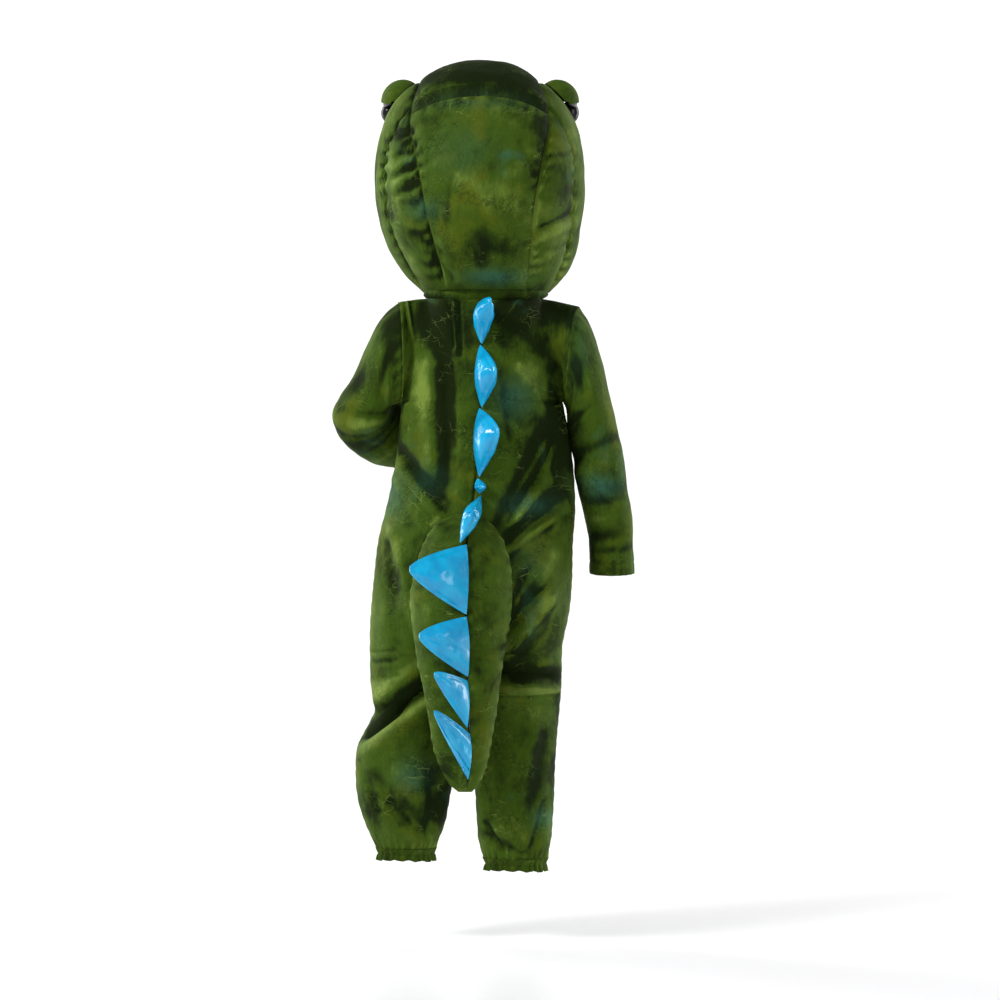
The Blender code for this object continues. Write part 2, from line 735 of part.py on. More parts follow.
def patch(side, low, top, start, end):
    """Side panel filled in between four lines of the side view."""
    rows = len(start)
    columns = len(low)
    v = np.linspace(0, 1, rows)[:, None, None]
    u = np.linspace(0, 1, columns)[None, :, None]
    across = (1 - v) * low[None] + v * top[None]
    upward = (1 - u) * start[:, None] + u * end[:, None]
    ends = (1 - v) * ((1 - u) * low[0] + u * low[-1]) + v * ((1 - u) * top[0] + u * top[-1])
    flat = across + upward - ends
    return head_side(side, flat[..., 0], flat[..., 1])


def edge_distance(grid, lines):
    points = grid.reshape(-1, 1, 3)
    line = np.concatenate(lines)[None]
    return np.linalg.norm(points - line, axis=-1).min(axis=1).reshape(grid.shape[:2])


def pad(name, grid, seams, edges):
    """Padded wall over a piece of the head, pinched at its seams."""
    normals = head_normals(grid)
    distance = edge_distance(grid, seams)
    puff = PINCH + PUFF * (1 - np.exp(-distance / PUFF_RUN))
    puff = puff * fade((grid[..., 2] - NECK_LINE) / NECK_RUN)
    outer = trim(grid + normals * puff[..., None], edges, SEAM)
    inner = trim(grid - normals * PADDING, edges, SEAM)
    for layer in (outer, inner):
        layer[..., 0] += lean(layer[..., 2])
    points, faces = wall_mesh(outer, inner)
    add_mesh(name, points, faces, GREEN, 0.85)
    return outer


def hood():
    """Padded dinosaur head of seven pieces."""
    share = np.linspace(-1, 1, HOOD_COLUMNS + 1)
    steps = np.linspace(0, 1, HOOD_ROWS + 1)
    back = np.array([back_strip(t, share) for t in steps])
    crown = np.array([crown_strip(t, share) for t in crown_stops()])
    outer = [pad("hood_back", back, [back[:, 0], back[:, -1], back[-1]], ("top", "low", "start", "end"))]
    crown_seams = [crown[:, 0], crown[:, -1], crown[0]]
    outer.append(pad("hood_crown", crown, crown_seams, ("top", "start", "end")))
    for side, end in ((-1, "left"), (1, "right")):
        edge = back[:, -1, 1:]
        over = crown[:, -1, 1:]
        seam = bent_edge(list(GORE_SEAM) + [tuple(over[1])], HOOD_ROWS + 1)
        face_edge = bent_edge(list(FACE_EDGE) + [tuple(over[-1])], HOOD_ROWS + 1)
        low = np.linspace(edge[0], seam[0], GORE_COLUMNS + 1)
        top = np.linspace(over[0], over[1], GORE_COLUMNS + 1)
        gore = patch(side, low, top, edge, seam)
        low = np.linspace(seam[0], face_edge[0], HOOD_ROWS + 1)
        cheek = patch(side, low, over[1:], seam, face_edge)
        gore_seams = [gore[:, 0], gore[:, -1], gore[-1]]
        outer.append(pad("hood_gore_" + end, gore, gore_seams, ("top", "low", "start", "end")))
        cheek_seams = [cheek[:, 0], cheek[-1]]
        outer.append(pad("hood_cheek_" + end, cheek, cheek_seams, ("top", "low", "start")))
    return outer


def neck_band(grids):
    """Short band between the suit's neckline and the head, from the panels' own top points."""
    last = int(NECK_SHARE * PANEL_COLUMNS)
    quarter = [grids[side, face][0][0, : last + 1] for side, face in ((1, 1), (1, -1), (-1, -1), (-1, 1))]
    low = np.concatenate([quarter[0], quarter[1][-2::-1], quarter[2][1:], quarter[3][-2:0:-1]])
    count = len(low)
    turn = np.arange(count) * 2 * pi / count
    deep = np.where(np.cos(turn) > 0, *NECK_TOP_DEPTH)
    height = NECK_LINE - 2 * SEAM + NECK_TUCK * np.maximum(0.0, -np.cos(turn)) ** 2
    top = np.stack([NECK_TOP_HALF * np.sin(turn), HEAD_Y + deep * np.cos(turn), height], -1)
    top[:, 0] += lean(height)
    low = low + np.array([0, 0, 2 * SEAM])
    away = unit((low + top) * np.array([1, 1, 0]) / 2 - np.array([3.0, 6.0, 0.0]))
    middle = (low + top) / 2 + away * 1.5
    outer = np.array([low, middle, top])
    points, faces = wall_mesh(outer, outer - away * CLOTH, True)
    add_mesh("neck_band", points, faces, GREEN, 0.85)


def placket(grids):
    """Underlap of the back opening, the panels' own points moved in under the centre seam."""
    rows = slice(1, PLACKET_ROWS)
    strips = []
    for side, columns in ((1, range(PLACKET_RIGHT, 0, -1)), (-1, range(0, PLACKET_LEFT + 1))):
        outer, normals = grids[side, -1]
        inside = outer - normals * (CLOTH + PLACKET_GAP)
        strips += [(inside[rows, column], normals[rows, column]) for column in columns]
    outer = np.stack([strip[0] for strip in strips], 1)
    normals = np.stack([strip[1] for strip in strips], 1)
    points, faces = wall_mesh(outer, outer - normals * CLOTH)
    add_mesh("back_placket", points, faces, DARK_GREEN, 0.85)


def dome_frame(side, y, z):
    """Place on the head with the directions out of it, towards the lid's mouth and along its rim."""
    point = head_side(side, np.array([y]), np.array([z]))
    normal = head_normals(point)[0]
    front = np.array([side * LID_AIM[0], LID_AIM[1], LID_AIM[2]])
    front = unit(front - normal * (front @ normal))
    return point[0], normal, front, np.cross(normal, front)


def seat_on(tree, point, normal, gap):
    """Move a point along a line until it lies a gap above the surface and what is round it."""
    aside = unit(np.cross(normal, (0.0, 1.0, 0.0)))
    best = None
    for step in (aside * 0, aside, -aside, np.cross(normal, aside), np.cross(aside, normal)):
        hit = tree.ray_cast(Vector(point + step * SPREAD + normal * 60.0), Vector(-normal))[0]
        if hit is not None:
            rise = (np.array(hit) - point) @ normal
            best = rise if best is None else max(best, rise)
    return point if best is None else point + normal * (best + gap)


def eye(tree, side):
    """Glossy domed eye."""
    centre, normal, front, across = dome_frame(side, LID_Y, LID_Z)
    centre = centre + front * EYE_SHIFT
    rings = 5
    steps = 16
    points = [seat_on(tree, centre, normal, EYE_SEAT)]
    for level in range(rings):
        rise = level / (rings - 1) * pi / 2 * 0.92
        for step in range(steps):
            angle = step * 2 * pi / steps
            flat = (front * np.cos(angle) + across * np.sin(angle)) * EYE_RADIUS * np.cos(rise)
            base = seat_on(tree, centre + flat, normal, EYE_SEAT)
            points.append(base + normal * (EYE_RISE * np.sin(rise) + 1.0 * (level > 0)))
    points.append(seat_on(tree, centre, normal, EYE_RISE + 1.4))
    faces = grid_faces(rings, steps, True, 1, False)
    for step in range(steps):
        after = (step + 1) % steps
        top = 1 + (rings - 1) * steps
        faces.append([0, 1 + after, 1 + step])
        faces.append([top + step, top + after, len(points) - 1])
    add_mesh("eye_left" if side < 0 else "eye_right", points, faces, BLACK, 0.08)


def lid_shell(tree, side, radius, wall):
    """Half dome drawn over the eye from behind, open towards the front."""
    centre, normal, front, across = dome_frame(side, LID_Y, LID_Z)
    layers = []
    for size in (radius, radius - wall):
        rows = []
        for sweep in np.linspace(0.0, LID_SWEEP, LID_ROWS):
            rise = -front * np.cos(sweep) + normal * np.sin(sweep) * LID_RISE
            row = []
            for turn in np.linspace(0.14, pi - 0.14, LID_STEPS):
                point = centre + size * (across * np.cos(turn) + rise * np.sin(turn))
                height = size * np.sin(turn) * np.sin(sweep) * LID_RISE
                base = seat_on(tree, point, normal, LID_SEAT)
                lowered = 1 - fade(max(0.0, height) / (0.6 * size))
                lift = base - (point - normal * ((point - centre) @ normal))
                row.append(point + lowered * lift)
            rows.append(row)
        layers.append(np.array(rows))
    return layers


def eyelid(tree, side):
    end = "left" if side < 0 else "right"
    outer, inner = lid_shell(tree, side, LID_RADIUS, LID_WALL)
    points, faces = wall_mesh(outer, inner)
    add_mesh("eyelid_" + end, points, faces, GREEN, 0.85)
    outer, inner = lid_shell(tree, side, LID_RADIUS - LID_WALL - SEAT, LINING_WALL)
    points, faces = wall_mesh(outer, inner)
    add_mesh("eyelid_lining_" + end, points, faces, BLACK, 0.5)


def tail_half(tree, side):
    """Stuffed half of the tail on one side of its ridge."""
    levels = []
    zs = [row.z for row in TAIL]
    for row in TAIL:
        ridge = row.ridge + side * SEAM
        edge = row.left if side < 0 else row.right
        span = edge - ridge
        ring = []
        for step in range(TAIL_STEPS + 1):
            angle = pi / 2 * step / TAIL_STEPS
            x = ridge + span * np.sin(angle)
            base = tail_base(tree, x, row)
            ring.append((x, base - row.back * np.cos(angle) ** 0.9, row.z))
        for step in range(TAIL_STEPS - 1, -1, -1):
            angle = pi / 2 * step / TAIL_STEPS
            x = ridge + span * np.sin(angle)
            base = tail_base(tree, x, row)
            ring.append((x, base + row.front * np.cos(angle), row.z))
        levels.append(ring)
    rings = np.array(levels)
    count = rings.shape[1]
    faces = grid_faces(len(zs), count, True, 0, False)
    faces.append(list(range(count)))
    faces.append([(len(zs) - 1) * count + step for step in range(count)][::-1])
    add_mesh("tail_left" if side < 0 else "tail_right", rings.reshape(-1, 3), faces, GREEN, 0.85)
    return rings[:, : TAIL_STEPS + 1]


def tail_base(tree, x, row):
    """Depth of the tail's edge line: on the seat above, hanging clear below."""
    seat = back_at(tree, x, row.z, TAIL_FREE_Y, TAIL_SPREAD) - TAIL_SEAT
    free = fade(row.away / 18.0)
    return min(seat - row.front, seat * (1 - free) + (TAIL_FREE_Y - 8.0) * free)


def clear_of(tree, point, gap):
    """Keep a point of a spike behind what it stands on."""
    floor = back_at(tree, point[0], point[2], REACH, SPREAD) - gap
    return np.array([point[0], min(point[1], floor), point[2]])


def settle(tree, points, count, gap):
    """Lower a piece until its foot, its first ring of points, is a gap from the surface."""
    rim = np.array(points[:count])
    spine = (rim + np.roll(rim[::-1], 1, 0)) / 2
    least = REACH
    for line in (rim, spine):
        for share in np.linspace(0, 1, 7)[:-1]:
            for x, y, z in line + (np.roll(line, -1, 0) - line) * share:
                least = min(least, back_at(tree, x, z, y + gap, 3 * SEAM) - y)
    return [point + np.array([0, least - gap, 0]) for point in points]


def spike(tree, number, row):
    """Stuffed leaf-shaped spike sewn in by its long edge."""
    heights = (row.top_z, row.low_z)
    base_y = np.mean([back_at(tree, x, z, -70.0) for x, z in zip((row.top_x, row.low_x), heights)])
    tip = np.array([row.tip_x, base_y - row.out, row.tip_z])
    middle = np.array([(row.top_x + row.low_x) / 2, base_y, np.mean(heights)])
    run = unit(np.array([row.low_x - row.top_x, 0.0, row.low_z - row.top_z]))
    rise = unit(tip - middle)
    side = unit(np.cross(run, rise))
    centre = np.array([middle[0], back_at(tree, middle[0], middle[2], base_y, SPREAD) - SPIKE_SEAT, middle[2]])
    points = []
    count = 2 * SPIKE_STEPS
    for level in range(SPIKE_LEVELS):
        share = level / (SPIKE_LEVELS - 1) * 0.94
        for step in range(count):
            along = 1 - abs(1 - step / SPIKE_STEPS)
            flank = -1 if step > SPIKE_STEPS else 1
            x = row.top_x + (row.low_x - row.top_x) * along
            z = row.top_z + (row.low_z - row.top_z) * along
            foot = np.array([x, back_at(tree, x, z, base_y, SPREAD) - SPIKE_SEAT, z])
            puff = np.sin(pi * along) ** 0.7 * (1 - share) ** 0.55
            half = SPIKE_BASE / 2 + (row.thick / 2 - SPIKE_BASE / 2) * np.sin(pi * (0.12 + 0.88 * share)) ** 0.8
            width = (1 - share) ** SPIKE_LEAF
            point = centre + (foot - centre) * width + (tip - centre) * share + side * flank * half * puff
            point = point + np.array([0, -row.bow, 0]) * np.sin(pi * share) * np.sin(pi * along)
            lower = side[1] * flank > 0
            gap = SPIKE_SEAT if level == 0 else SPIKE_CLEAR
            points.append(clear_of(tree, point, gap if lower else gap + 1.2))
    points = settle(tree, points, count, SPIKE_SEAT)
    faces = grid_faces(SPIKE_LEVELS, count, True, 0, False)
    faces.append(list(range(count))[::-1])
    faces.append([(SPIKE_LEVELS - 1) * count + step for step in range(count)])
    add_mesh("spike_" + str(number), points, faces, BLUE, 0.12)


def build():
    grids = quarters()
    for side in (-1, 1):
        sleeve(grids, side)
        casing(side)
    body(grids)
    neck_band(grids)
    placket(grids)
    head = surface(hood())
    for side in (-1, 1):
        eye(head, side)
        eyelid(head, side)
    backs = [grids[-1, -1][0], grids[1, -1][0]]
    seat = surface(backs)
    tails = [tail_half(seat, side) for side in (-1, 1)]
    carrier = surface(backs + tails)
    for number, row in enumerate(SPIKES, 1):
        spike(carrier, number, row)


build()
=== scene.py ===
"""Hooded dinosaur costume: the sewn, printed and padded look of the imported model."""

from collections import namedtuple
from math import cos, pi, radians, sin

import bpy
import numpy as np
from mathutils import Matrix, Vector, noise
from mathutils.bvhtree import BVHTree


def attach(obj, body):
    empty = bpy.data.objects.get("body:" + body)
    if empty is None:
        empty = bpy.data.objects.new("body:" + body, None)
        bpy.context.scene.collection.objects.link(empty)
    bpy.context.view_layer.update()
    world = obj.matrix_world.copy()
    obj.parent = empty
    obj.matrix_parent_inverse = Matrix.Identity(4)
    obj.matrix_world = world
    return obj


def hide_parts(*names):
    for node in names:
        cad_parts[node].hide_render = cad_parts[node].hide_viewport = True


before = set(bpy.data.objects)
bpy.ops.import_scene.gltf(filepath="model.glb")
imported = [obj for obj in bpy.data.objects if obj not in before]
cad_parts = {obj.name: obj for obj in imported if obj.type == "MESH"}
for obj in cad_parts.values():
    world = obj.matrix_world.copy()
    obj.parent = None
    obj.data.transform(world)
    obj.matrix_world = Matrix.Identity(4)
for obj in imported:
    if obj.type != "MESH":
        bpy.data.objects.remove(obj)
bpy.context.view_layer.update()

bl_info = {
    "name": "Dinosaur costume",
    "version": (1, 0, 0),
    "blender": (4, 5, 0),
    "location": "3D View > Sidebar > Costume",
    "description": "Builds a child's hooded dinosaur costume over its packed model",
    "category": "Object",
}

PICTURE_AIM = (0.0256, -0.256)  # across and up, where the camera looks straight at, in metres
MM = 0.001
SEAM = 0.15  # each piece stops this far from the line it is sewn on
SEAT = 0.3  # gap under what lies on a panel, and at the ends of the casings and the neck band
REACH = 400.0  # length of the lines that find a surface

# Counts of mesh rows and columns
YOKE_ROWS = 48
TORSO_ROWS = 66
CROTCH_ROWS = 26
LEG_ROWS = 104
PANEL_COLUMNS = 56
SLEEVE_ROWS = {-1: 130, 1: 110}
HOOD_ROWS = 96
HOOD_COLUMNS = 84
GORE_COLUMNS = 40
CASING_ROWS = 16
CASING_COLUMNS = 288
GATHERS = 26
BAND_ROWS = 12
TAIL_ROWS = 110
TAIL_STEPS = 26
SPIKE_LEVELS = 26
SPIKE_STEPS = 22
LID_ROWS = 26
LID_STEPS = 30
EYE_LEVELS = 14
EYE_STEPS = 48

# Body, measured down from the shoulder line
UNDERARM = 130.0
FORK_START = 381.0
FORK = 451.0
BODY_Y = 0.0
NECK_SHARE = 0.5  # part of a panel's width that is neckline, the rest is shoulder seam
NECK_HALF = 74.0
NECK_DEPTH = {-1: 44.0, 1: 58.0}
NECK_DROP = {-1: 4.0, 1: 14.0}
NECK_TOP = 2.0
NECK_TOP_HALF = 79.0
NECK_TOP_DEPTH = (54.0, 54.0)
NECK_TUCK = 10.0  # how far the band's top reaches up inside the foot of the head, at the back
SHOULDER_TIP = {-1: (-105.0, -2.0), 1: (128.0, -8.0)}
ARMHOLE_HALF = 45.0
ARMHOLE_INSET = 7.0

Section = namedtuple("Section", "depth centre left right back front")
TORSO = [
    Section(-20, 6, 103, 110, 74, 74),
    Section(130, 3, 103, 102, 78, 80),
    Section(160, 2, 105, 107, 79, 83),
    Section(190, 0, 106, 114, 80, 86),
    Section(220, -3, 107, 122, 81, 88),
    Section(266, -8, 112, 130, 84, 90),
    Section(312, -12, 119, 131, 88, 90),
    Section(358, -14, 122, 132, 91, 90),
    Section(404, -16, 124, 130, 92, 88),
    Section(451, -18, 123, 123, 92, 86),
    Section(500, -18, 122, 122, 92, 86),
]

LegRow = namedtuple("LegRow", "depth inner outer back front shift")
LEGS = {
    -1: [
        LegRow(451, -18.2, -141, 70, 72, 0),
        LegRow(497, -23, -139, 64, 70, 0),
        LegRow(522, -26, -134, 58, 66, 2),
        LegRow(545, -28, -144, 60, 66, 2),
        LegRow(566, -30, -155, 64, 66, 1),
        LegRow(600, -33, -159, 66, 65, 0),
        LegRow(635, -38, -157, 64, 62, 0),
        LegRow(665, -44, -149, 57, 54, 1),
        LegRow(686, -51, -140, 47, 45, 2),
        LegRow(700, -56, -133, 40, 39, 3),
    ],
    1: [
        LegRow(451, -17.8, 105, 70, 72, 0),
        LegRow(497, -13, 104, 62, 70, 0),
        LegRow(522, -11, 102, 58, 66, 0),
        LegRow(566, -9, 98, 58, 62, 0),
        LegRow(600, -8, 96, 58, 60, 0),
        LegRow(635, -6, 95, 57, 58, 0),
        LegRow(668, -4, 93, 53, 54, 1),
        LegRow(695, -1, 90, 47, 46, 2),
        LegRow(713, 4, 87, 42, 41, 3),
    ],
}
CASING_HEIGHT = 15.0
CASING_NIP = 0.93
CASING_FLARE = 1.03

# Folds as seen from the back (face -1) or the front (face 1); height is out of the cloth
Fold = namedtuple("Fold", "face x0 z0 x1 z1 width height")
FOLDS = [
    Fold(-1, -48, -70, -40, -232, 11, -8),
    Fold(-1, -66, -90, -62, -215, 12, 3),
    Fold(-1, -70, -12, -66, -60, 7, -3),
    Fold(-1, -101, -200, -44, -262, 10, -6),
    Fold(-1, -108, -226, -52, -282, 10, 4),
    Fold(-1, 92, -168, 30, -286, 13, -6),
    Fold(-1, 98, -262, 48, -304, 10, -9),
    Fold(-1, 84, -240, 40, -282, 9, 4),
    Fold(-1, 96, -96, 101, -210, 10, -5),
    Fold(-1, 36, -22, 82, -70, 12, -3),
    Fold(-1, -118, -330, -104, -430, 13, -4),
    Fold(-1, 98, -330, 78, -380, 10, 3),
    Fold(-1, 88, -388, 40, -446, 10, 5),
    Fold(-1, 66, -380, 28, -426, 9, -5),
    Fold(-1, -60, -486, -146, -548, 11, -10),
    Fold(-1, -66, -462, -138, -520, 15, 6),
    Fold(-1, -70, -520, -146, -582, 17, 6),
    Fold(-1, 22, -478, 90, -484, 11, -8),
    Fold(-1, 20, -500, 92, -502, 9, 5),
    Fold(-1, -126, -612, -74, -664, 11, -4),
    Fold(-1, -60, -604, -54, -662, 9, -4),
    Fold(-1, 8, -684, 50, -704, 7, -3),
    Fold(-1, 82, -560, 70, -640, 10, -4),
    Fold(1, -84, -150, -30, -226, 13, -5),
    Fold(1, 86, -160, 32, -250, 13, -5),
    Fold(1, 60, -250, 96, -296, 12, -5),
    Fold(1, -96, -330, -46, -382, 12, 4),
    Fold(1, 84, -372, 32, -424, 12, -5),
    Fold(1, -118, -500, -52, -532, 12, -7),
    Fold(1, 24, -494, 88, -520, 12, -7),
    Fold(1, -118, -590, -62, -640, 12, -4),
    Fold(1, 22, -600, 74, -652, 12, -4),
    Fold(1, -70, -30, -58, -110, 11, -3),
    Fold(1, 84, -34, 70, -116, 11, -3),
]

# Sleeves: the line over the elbow, the line in the crook, and the half width across them
Ring = namedtuple("Ring", "outer inner half")
SLEEVES = {
    -1: [
        Ring((-105, 0, -2), (-100, 0, -130), 45),
        Ring((-126, -2, -22), (-104, 2, -132), 45),
        Ring((-143, -5, -56), (-108, 8, -133), 42),
        Ring((-160, -8, -94), (-113, 14, -133), 38),
        Ring((-176, -11, -128), (-118, 19, -132), 35),
        Ring((-184, -9, -153), (-120, 25, -132), 34),
        Ring((-180, 10, -177), (-118, 32, -133), 33),
        Ring((-163, 38, -195), (-107, 42, -128), 31),
        Ring((-139, 62, -207), (-98, 58, -132), 29),
        Ring((-113, 84, -214), (-87, 79, -147), 27),
        Ring((-89, 102, -218), (-71, 97, -157), 26),
        Ring((-67, 118, -220), (-55, 111, -165), 25),
    ],
    1: [
        Ring((128, 0, -8), (105, 0, -130), 45),
        Ring((143, 1, -36), (109, 1, -137), 45),
        Ring((156, 2, -76), (111, 2, -146), 42),
        Ring((167, 3, -122), (112, 3, -166), 38),
        Ring((179, 4, -176), (118, 4, -202), 35),
        Ring((188, 5, -228), (123, 5, -238), 33),
        Ring((194, 8, -270), (134, 8, -276), 32),
        Ring((197, 12, -310), (139, 12, -314), 30),
        Ring((198, 16, -350), (141, 16, -350), 29),
    ],
}
SLEEVE_BLEND = (0.0, 0.5, 0.85)  # how soon the armhole's shape becomes a round sleeve

# Creases on the sleeves: place along the arm and round it, spans of both, and height
Crease = namedtuple("Crease", "side along turn length spread height")
CREASES = [
    Crease(-1, 0.30, 0.42, 0.05, 0.13, -4),
    Crease(-1, 0.44, 0.06, 0.03, 0.12, -2),
    Crease(-1, 0.52, 0.94, 0.03, 0.12, -2),
    Crease(-1, 0.58, 0.30, 0.04, 0.16, -4),
    Crease(-1, 0.72, 0.36, 0.03, 0.14, 3),
    Crease(1, 0.20, 0.30, 0.08, 0.08, -4),
    Crease(1, 0.52, 0.10, 0.04, 0.14, -4),
    Crease(1, 0.66, 0.34, 0.03, 0.14, -3),
    Crease(1, 0.84, 0.20, 0.03, 0.16, -3),
]

# Padded head, a rounded form about a point; its profile turns from the back over the top
HEAD_Y = 10.0
HEAD_Z = 155.0
HEAD_HALF = 132.0
HEAD_ROUND = 2.2
NECK_LINE = 10.0  # height at which the head's panels end
LEAN = 8.0  # the head's foot stands this far to the right
LEAN_HEIGHT = 110.0
Profile = namedtuple("Profile", "turn radius")
PROFILE = [
    Profile(-90, 175),
    Profile(-70, 161),
    Profile(-45, 148),
    Profile(-20, 138),
    Profile(0, 134),
    Profile(30, 139),
    Profile(60, 146),
    Profile(90, 150),
    Profile(110, 150),
    Profile(130, 157),
    Profile(146, 174),
    Profile(160, 184),
    Profile(172, 170),
    Profile(186, 146),
    Profile(205, 136),
    Profile(225, 144),
    Profile(250, 162),
    Profile(270, 175),
]
Strip = namedtuple("Strip", "turn half")
CENTRE_STRIP = [
    Strip(-80, 47),
    Strip(-50, 60),
    Strip(-20, 71),
    Strip(10, 82),
    Strip(34, 90),
    Strip(50, 88),
    Strip(75, 79),
    Strip(100, 76),
    Strip(130, 70),
    Strip(155, 62),
    Strip(172, 54),
]
CROWN_SEAM = 43.0  # turn at which the crown is joined to the back of the head
BROW = 172.0  # turn at which the crown ends over the face
GORE_TOP = 0.05  # share of the crown's edge that the gore takes
SidePoint = namedtuple("SidePoint", "y z")
GORE_SEAM = [SidePoint(0, 10), SidePoint(-28, 62), SidePoint(-48, 130), SidePoint(-50, 186)]
FACE_EDGE = [SidePoint(60, 10), SidePoint(84, 50), SidePoint(93, 96), SidePoint(108, 136)]
PUFF = 6.0
PINCH = -3.0
PUFF_RUN = 14.0  # distance from a seam over which the padding fills out
NECK_RUN = 22.0

# Eyes sit on the head's sides ahead of the crown
EYE_RADIUS = 14.0
EYE_RISE = 13.0
EYE_SHIFT = 22.0  # from the lid's middle towards its mouth
LID_Y = 26.0
LID_Z = 258.0
LID_AIM = (0.7, 0.45, -0.55)
LID_RADIUS = 28.0
LID_RISE = 0.95  # height of the lid's dome as a share of its radius
EYE_SEAT = 0.8
LID_SEAT = 0.1
LID_WALL = 2.4
LINING_WALL = 1.0
LID_SWEEP = 2.15  # radians the lid is drawn over the eye
LINING_SHOWS = 0.32  # radians of the black lining that show past the lid's edge

UNDERLAP_DEPTH = 2.3  # the underlap of the back opening lies this far inside the panel's face

# Tail: row by row down the back
TailRow = namedtuple("TailRow", "z left right ridge back front away")
TAIL = [
    TailRow(-274, -32, -2, -15, 5, 0, 0),
    TailRow(-283, -50, 12, -15, 13, 0, 0),
    TailRow(-297, -63, 24, -15, 21, 0, 0),
    TailRow(-318, -73, 33, -16, 29, 0, 0),
    TailRow(-345, -81, 39, -16, 35, 0, 0),
    TailRow(-374, -87, 41, -17, 39, 0, 0),
    TailRow(-402, -86, 39, -17, 41, 3, 1),
    TailRow(-430, -82, 34, -16, 41, 9, 7),
    TailRow(-460, -77, 29, -15, 39, 15, 14),
    TailRow(-492, -70, 25, -14, 37, 17, 17),
    TailRow(-527, -64, 20, -13, 33, 17, 18),
    TailRow(-560, -58, 14, -12, 28, 15, 18),
    TailRow(-590, -49, 8, -13, 22, 12, 18),
    TailRow(-610, -38, -1, -15, 14, 8, 18),
    TailRow(-620, -27, -9, -17, 6, 4, 18),
]
TAIL_FREE_Y = -92.0  # middle of the tail's edge where it hangs clear of the seat
TAIL_SPREAD = 9.0
TAIL_SEAT = 0.9

# Spikes: base line top and bottom, tip, how far the tip stands out, thickness and bow
Spike = namedtuple("Spike", "top_x top_z low_x low_z tip_x tip_z out thick bow")
SPIKES = [
    Spike(-1, -6, 3, -60, 15, -6, 44, 32, 8),
    Spike(1, -61, 3, -140, 21, -96, 46, 33, 8),
    Spike(0, -141, 0, -227, 25, -172, 48, 34, 8),
    Spike(-2, -229, 0, -248, 7, -240, 22, 18, 3),
    Spike(2, -250, -24, -309, -7, -268, 34, 26, 5),
    Spike(-16, -311, -16, -398, -87, -341, 36, 22, 8),
    Spike(-16, -400, -14, -475, -75, -423, 34, 22, 8),
    Spike(-15, -479, -15, -538, -56, -469, 38, 14, 7),
    Spike(-12, -545, -14, -603, -56, -515, 46, 15, 4),
]
SPIKE_GROUND = -70.0  # depth taken for a spike's end that stands on nothing
SPIKE_BASE = 4.0
SPIKE_LEAF = 0.66  # how slowly a spike narrows from its foot; 1 is a straight-sided spike
SPIKE_SEAT = 0.5
SPIKE_CLEAR = 2.2
SPREAD = 9.0  # what is seated clears the surface this far round each of its points
RIDGE_SPREAD = 1.0  # a spike's ends are looked for this far round them, across the tail's ridge

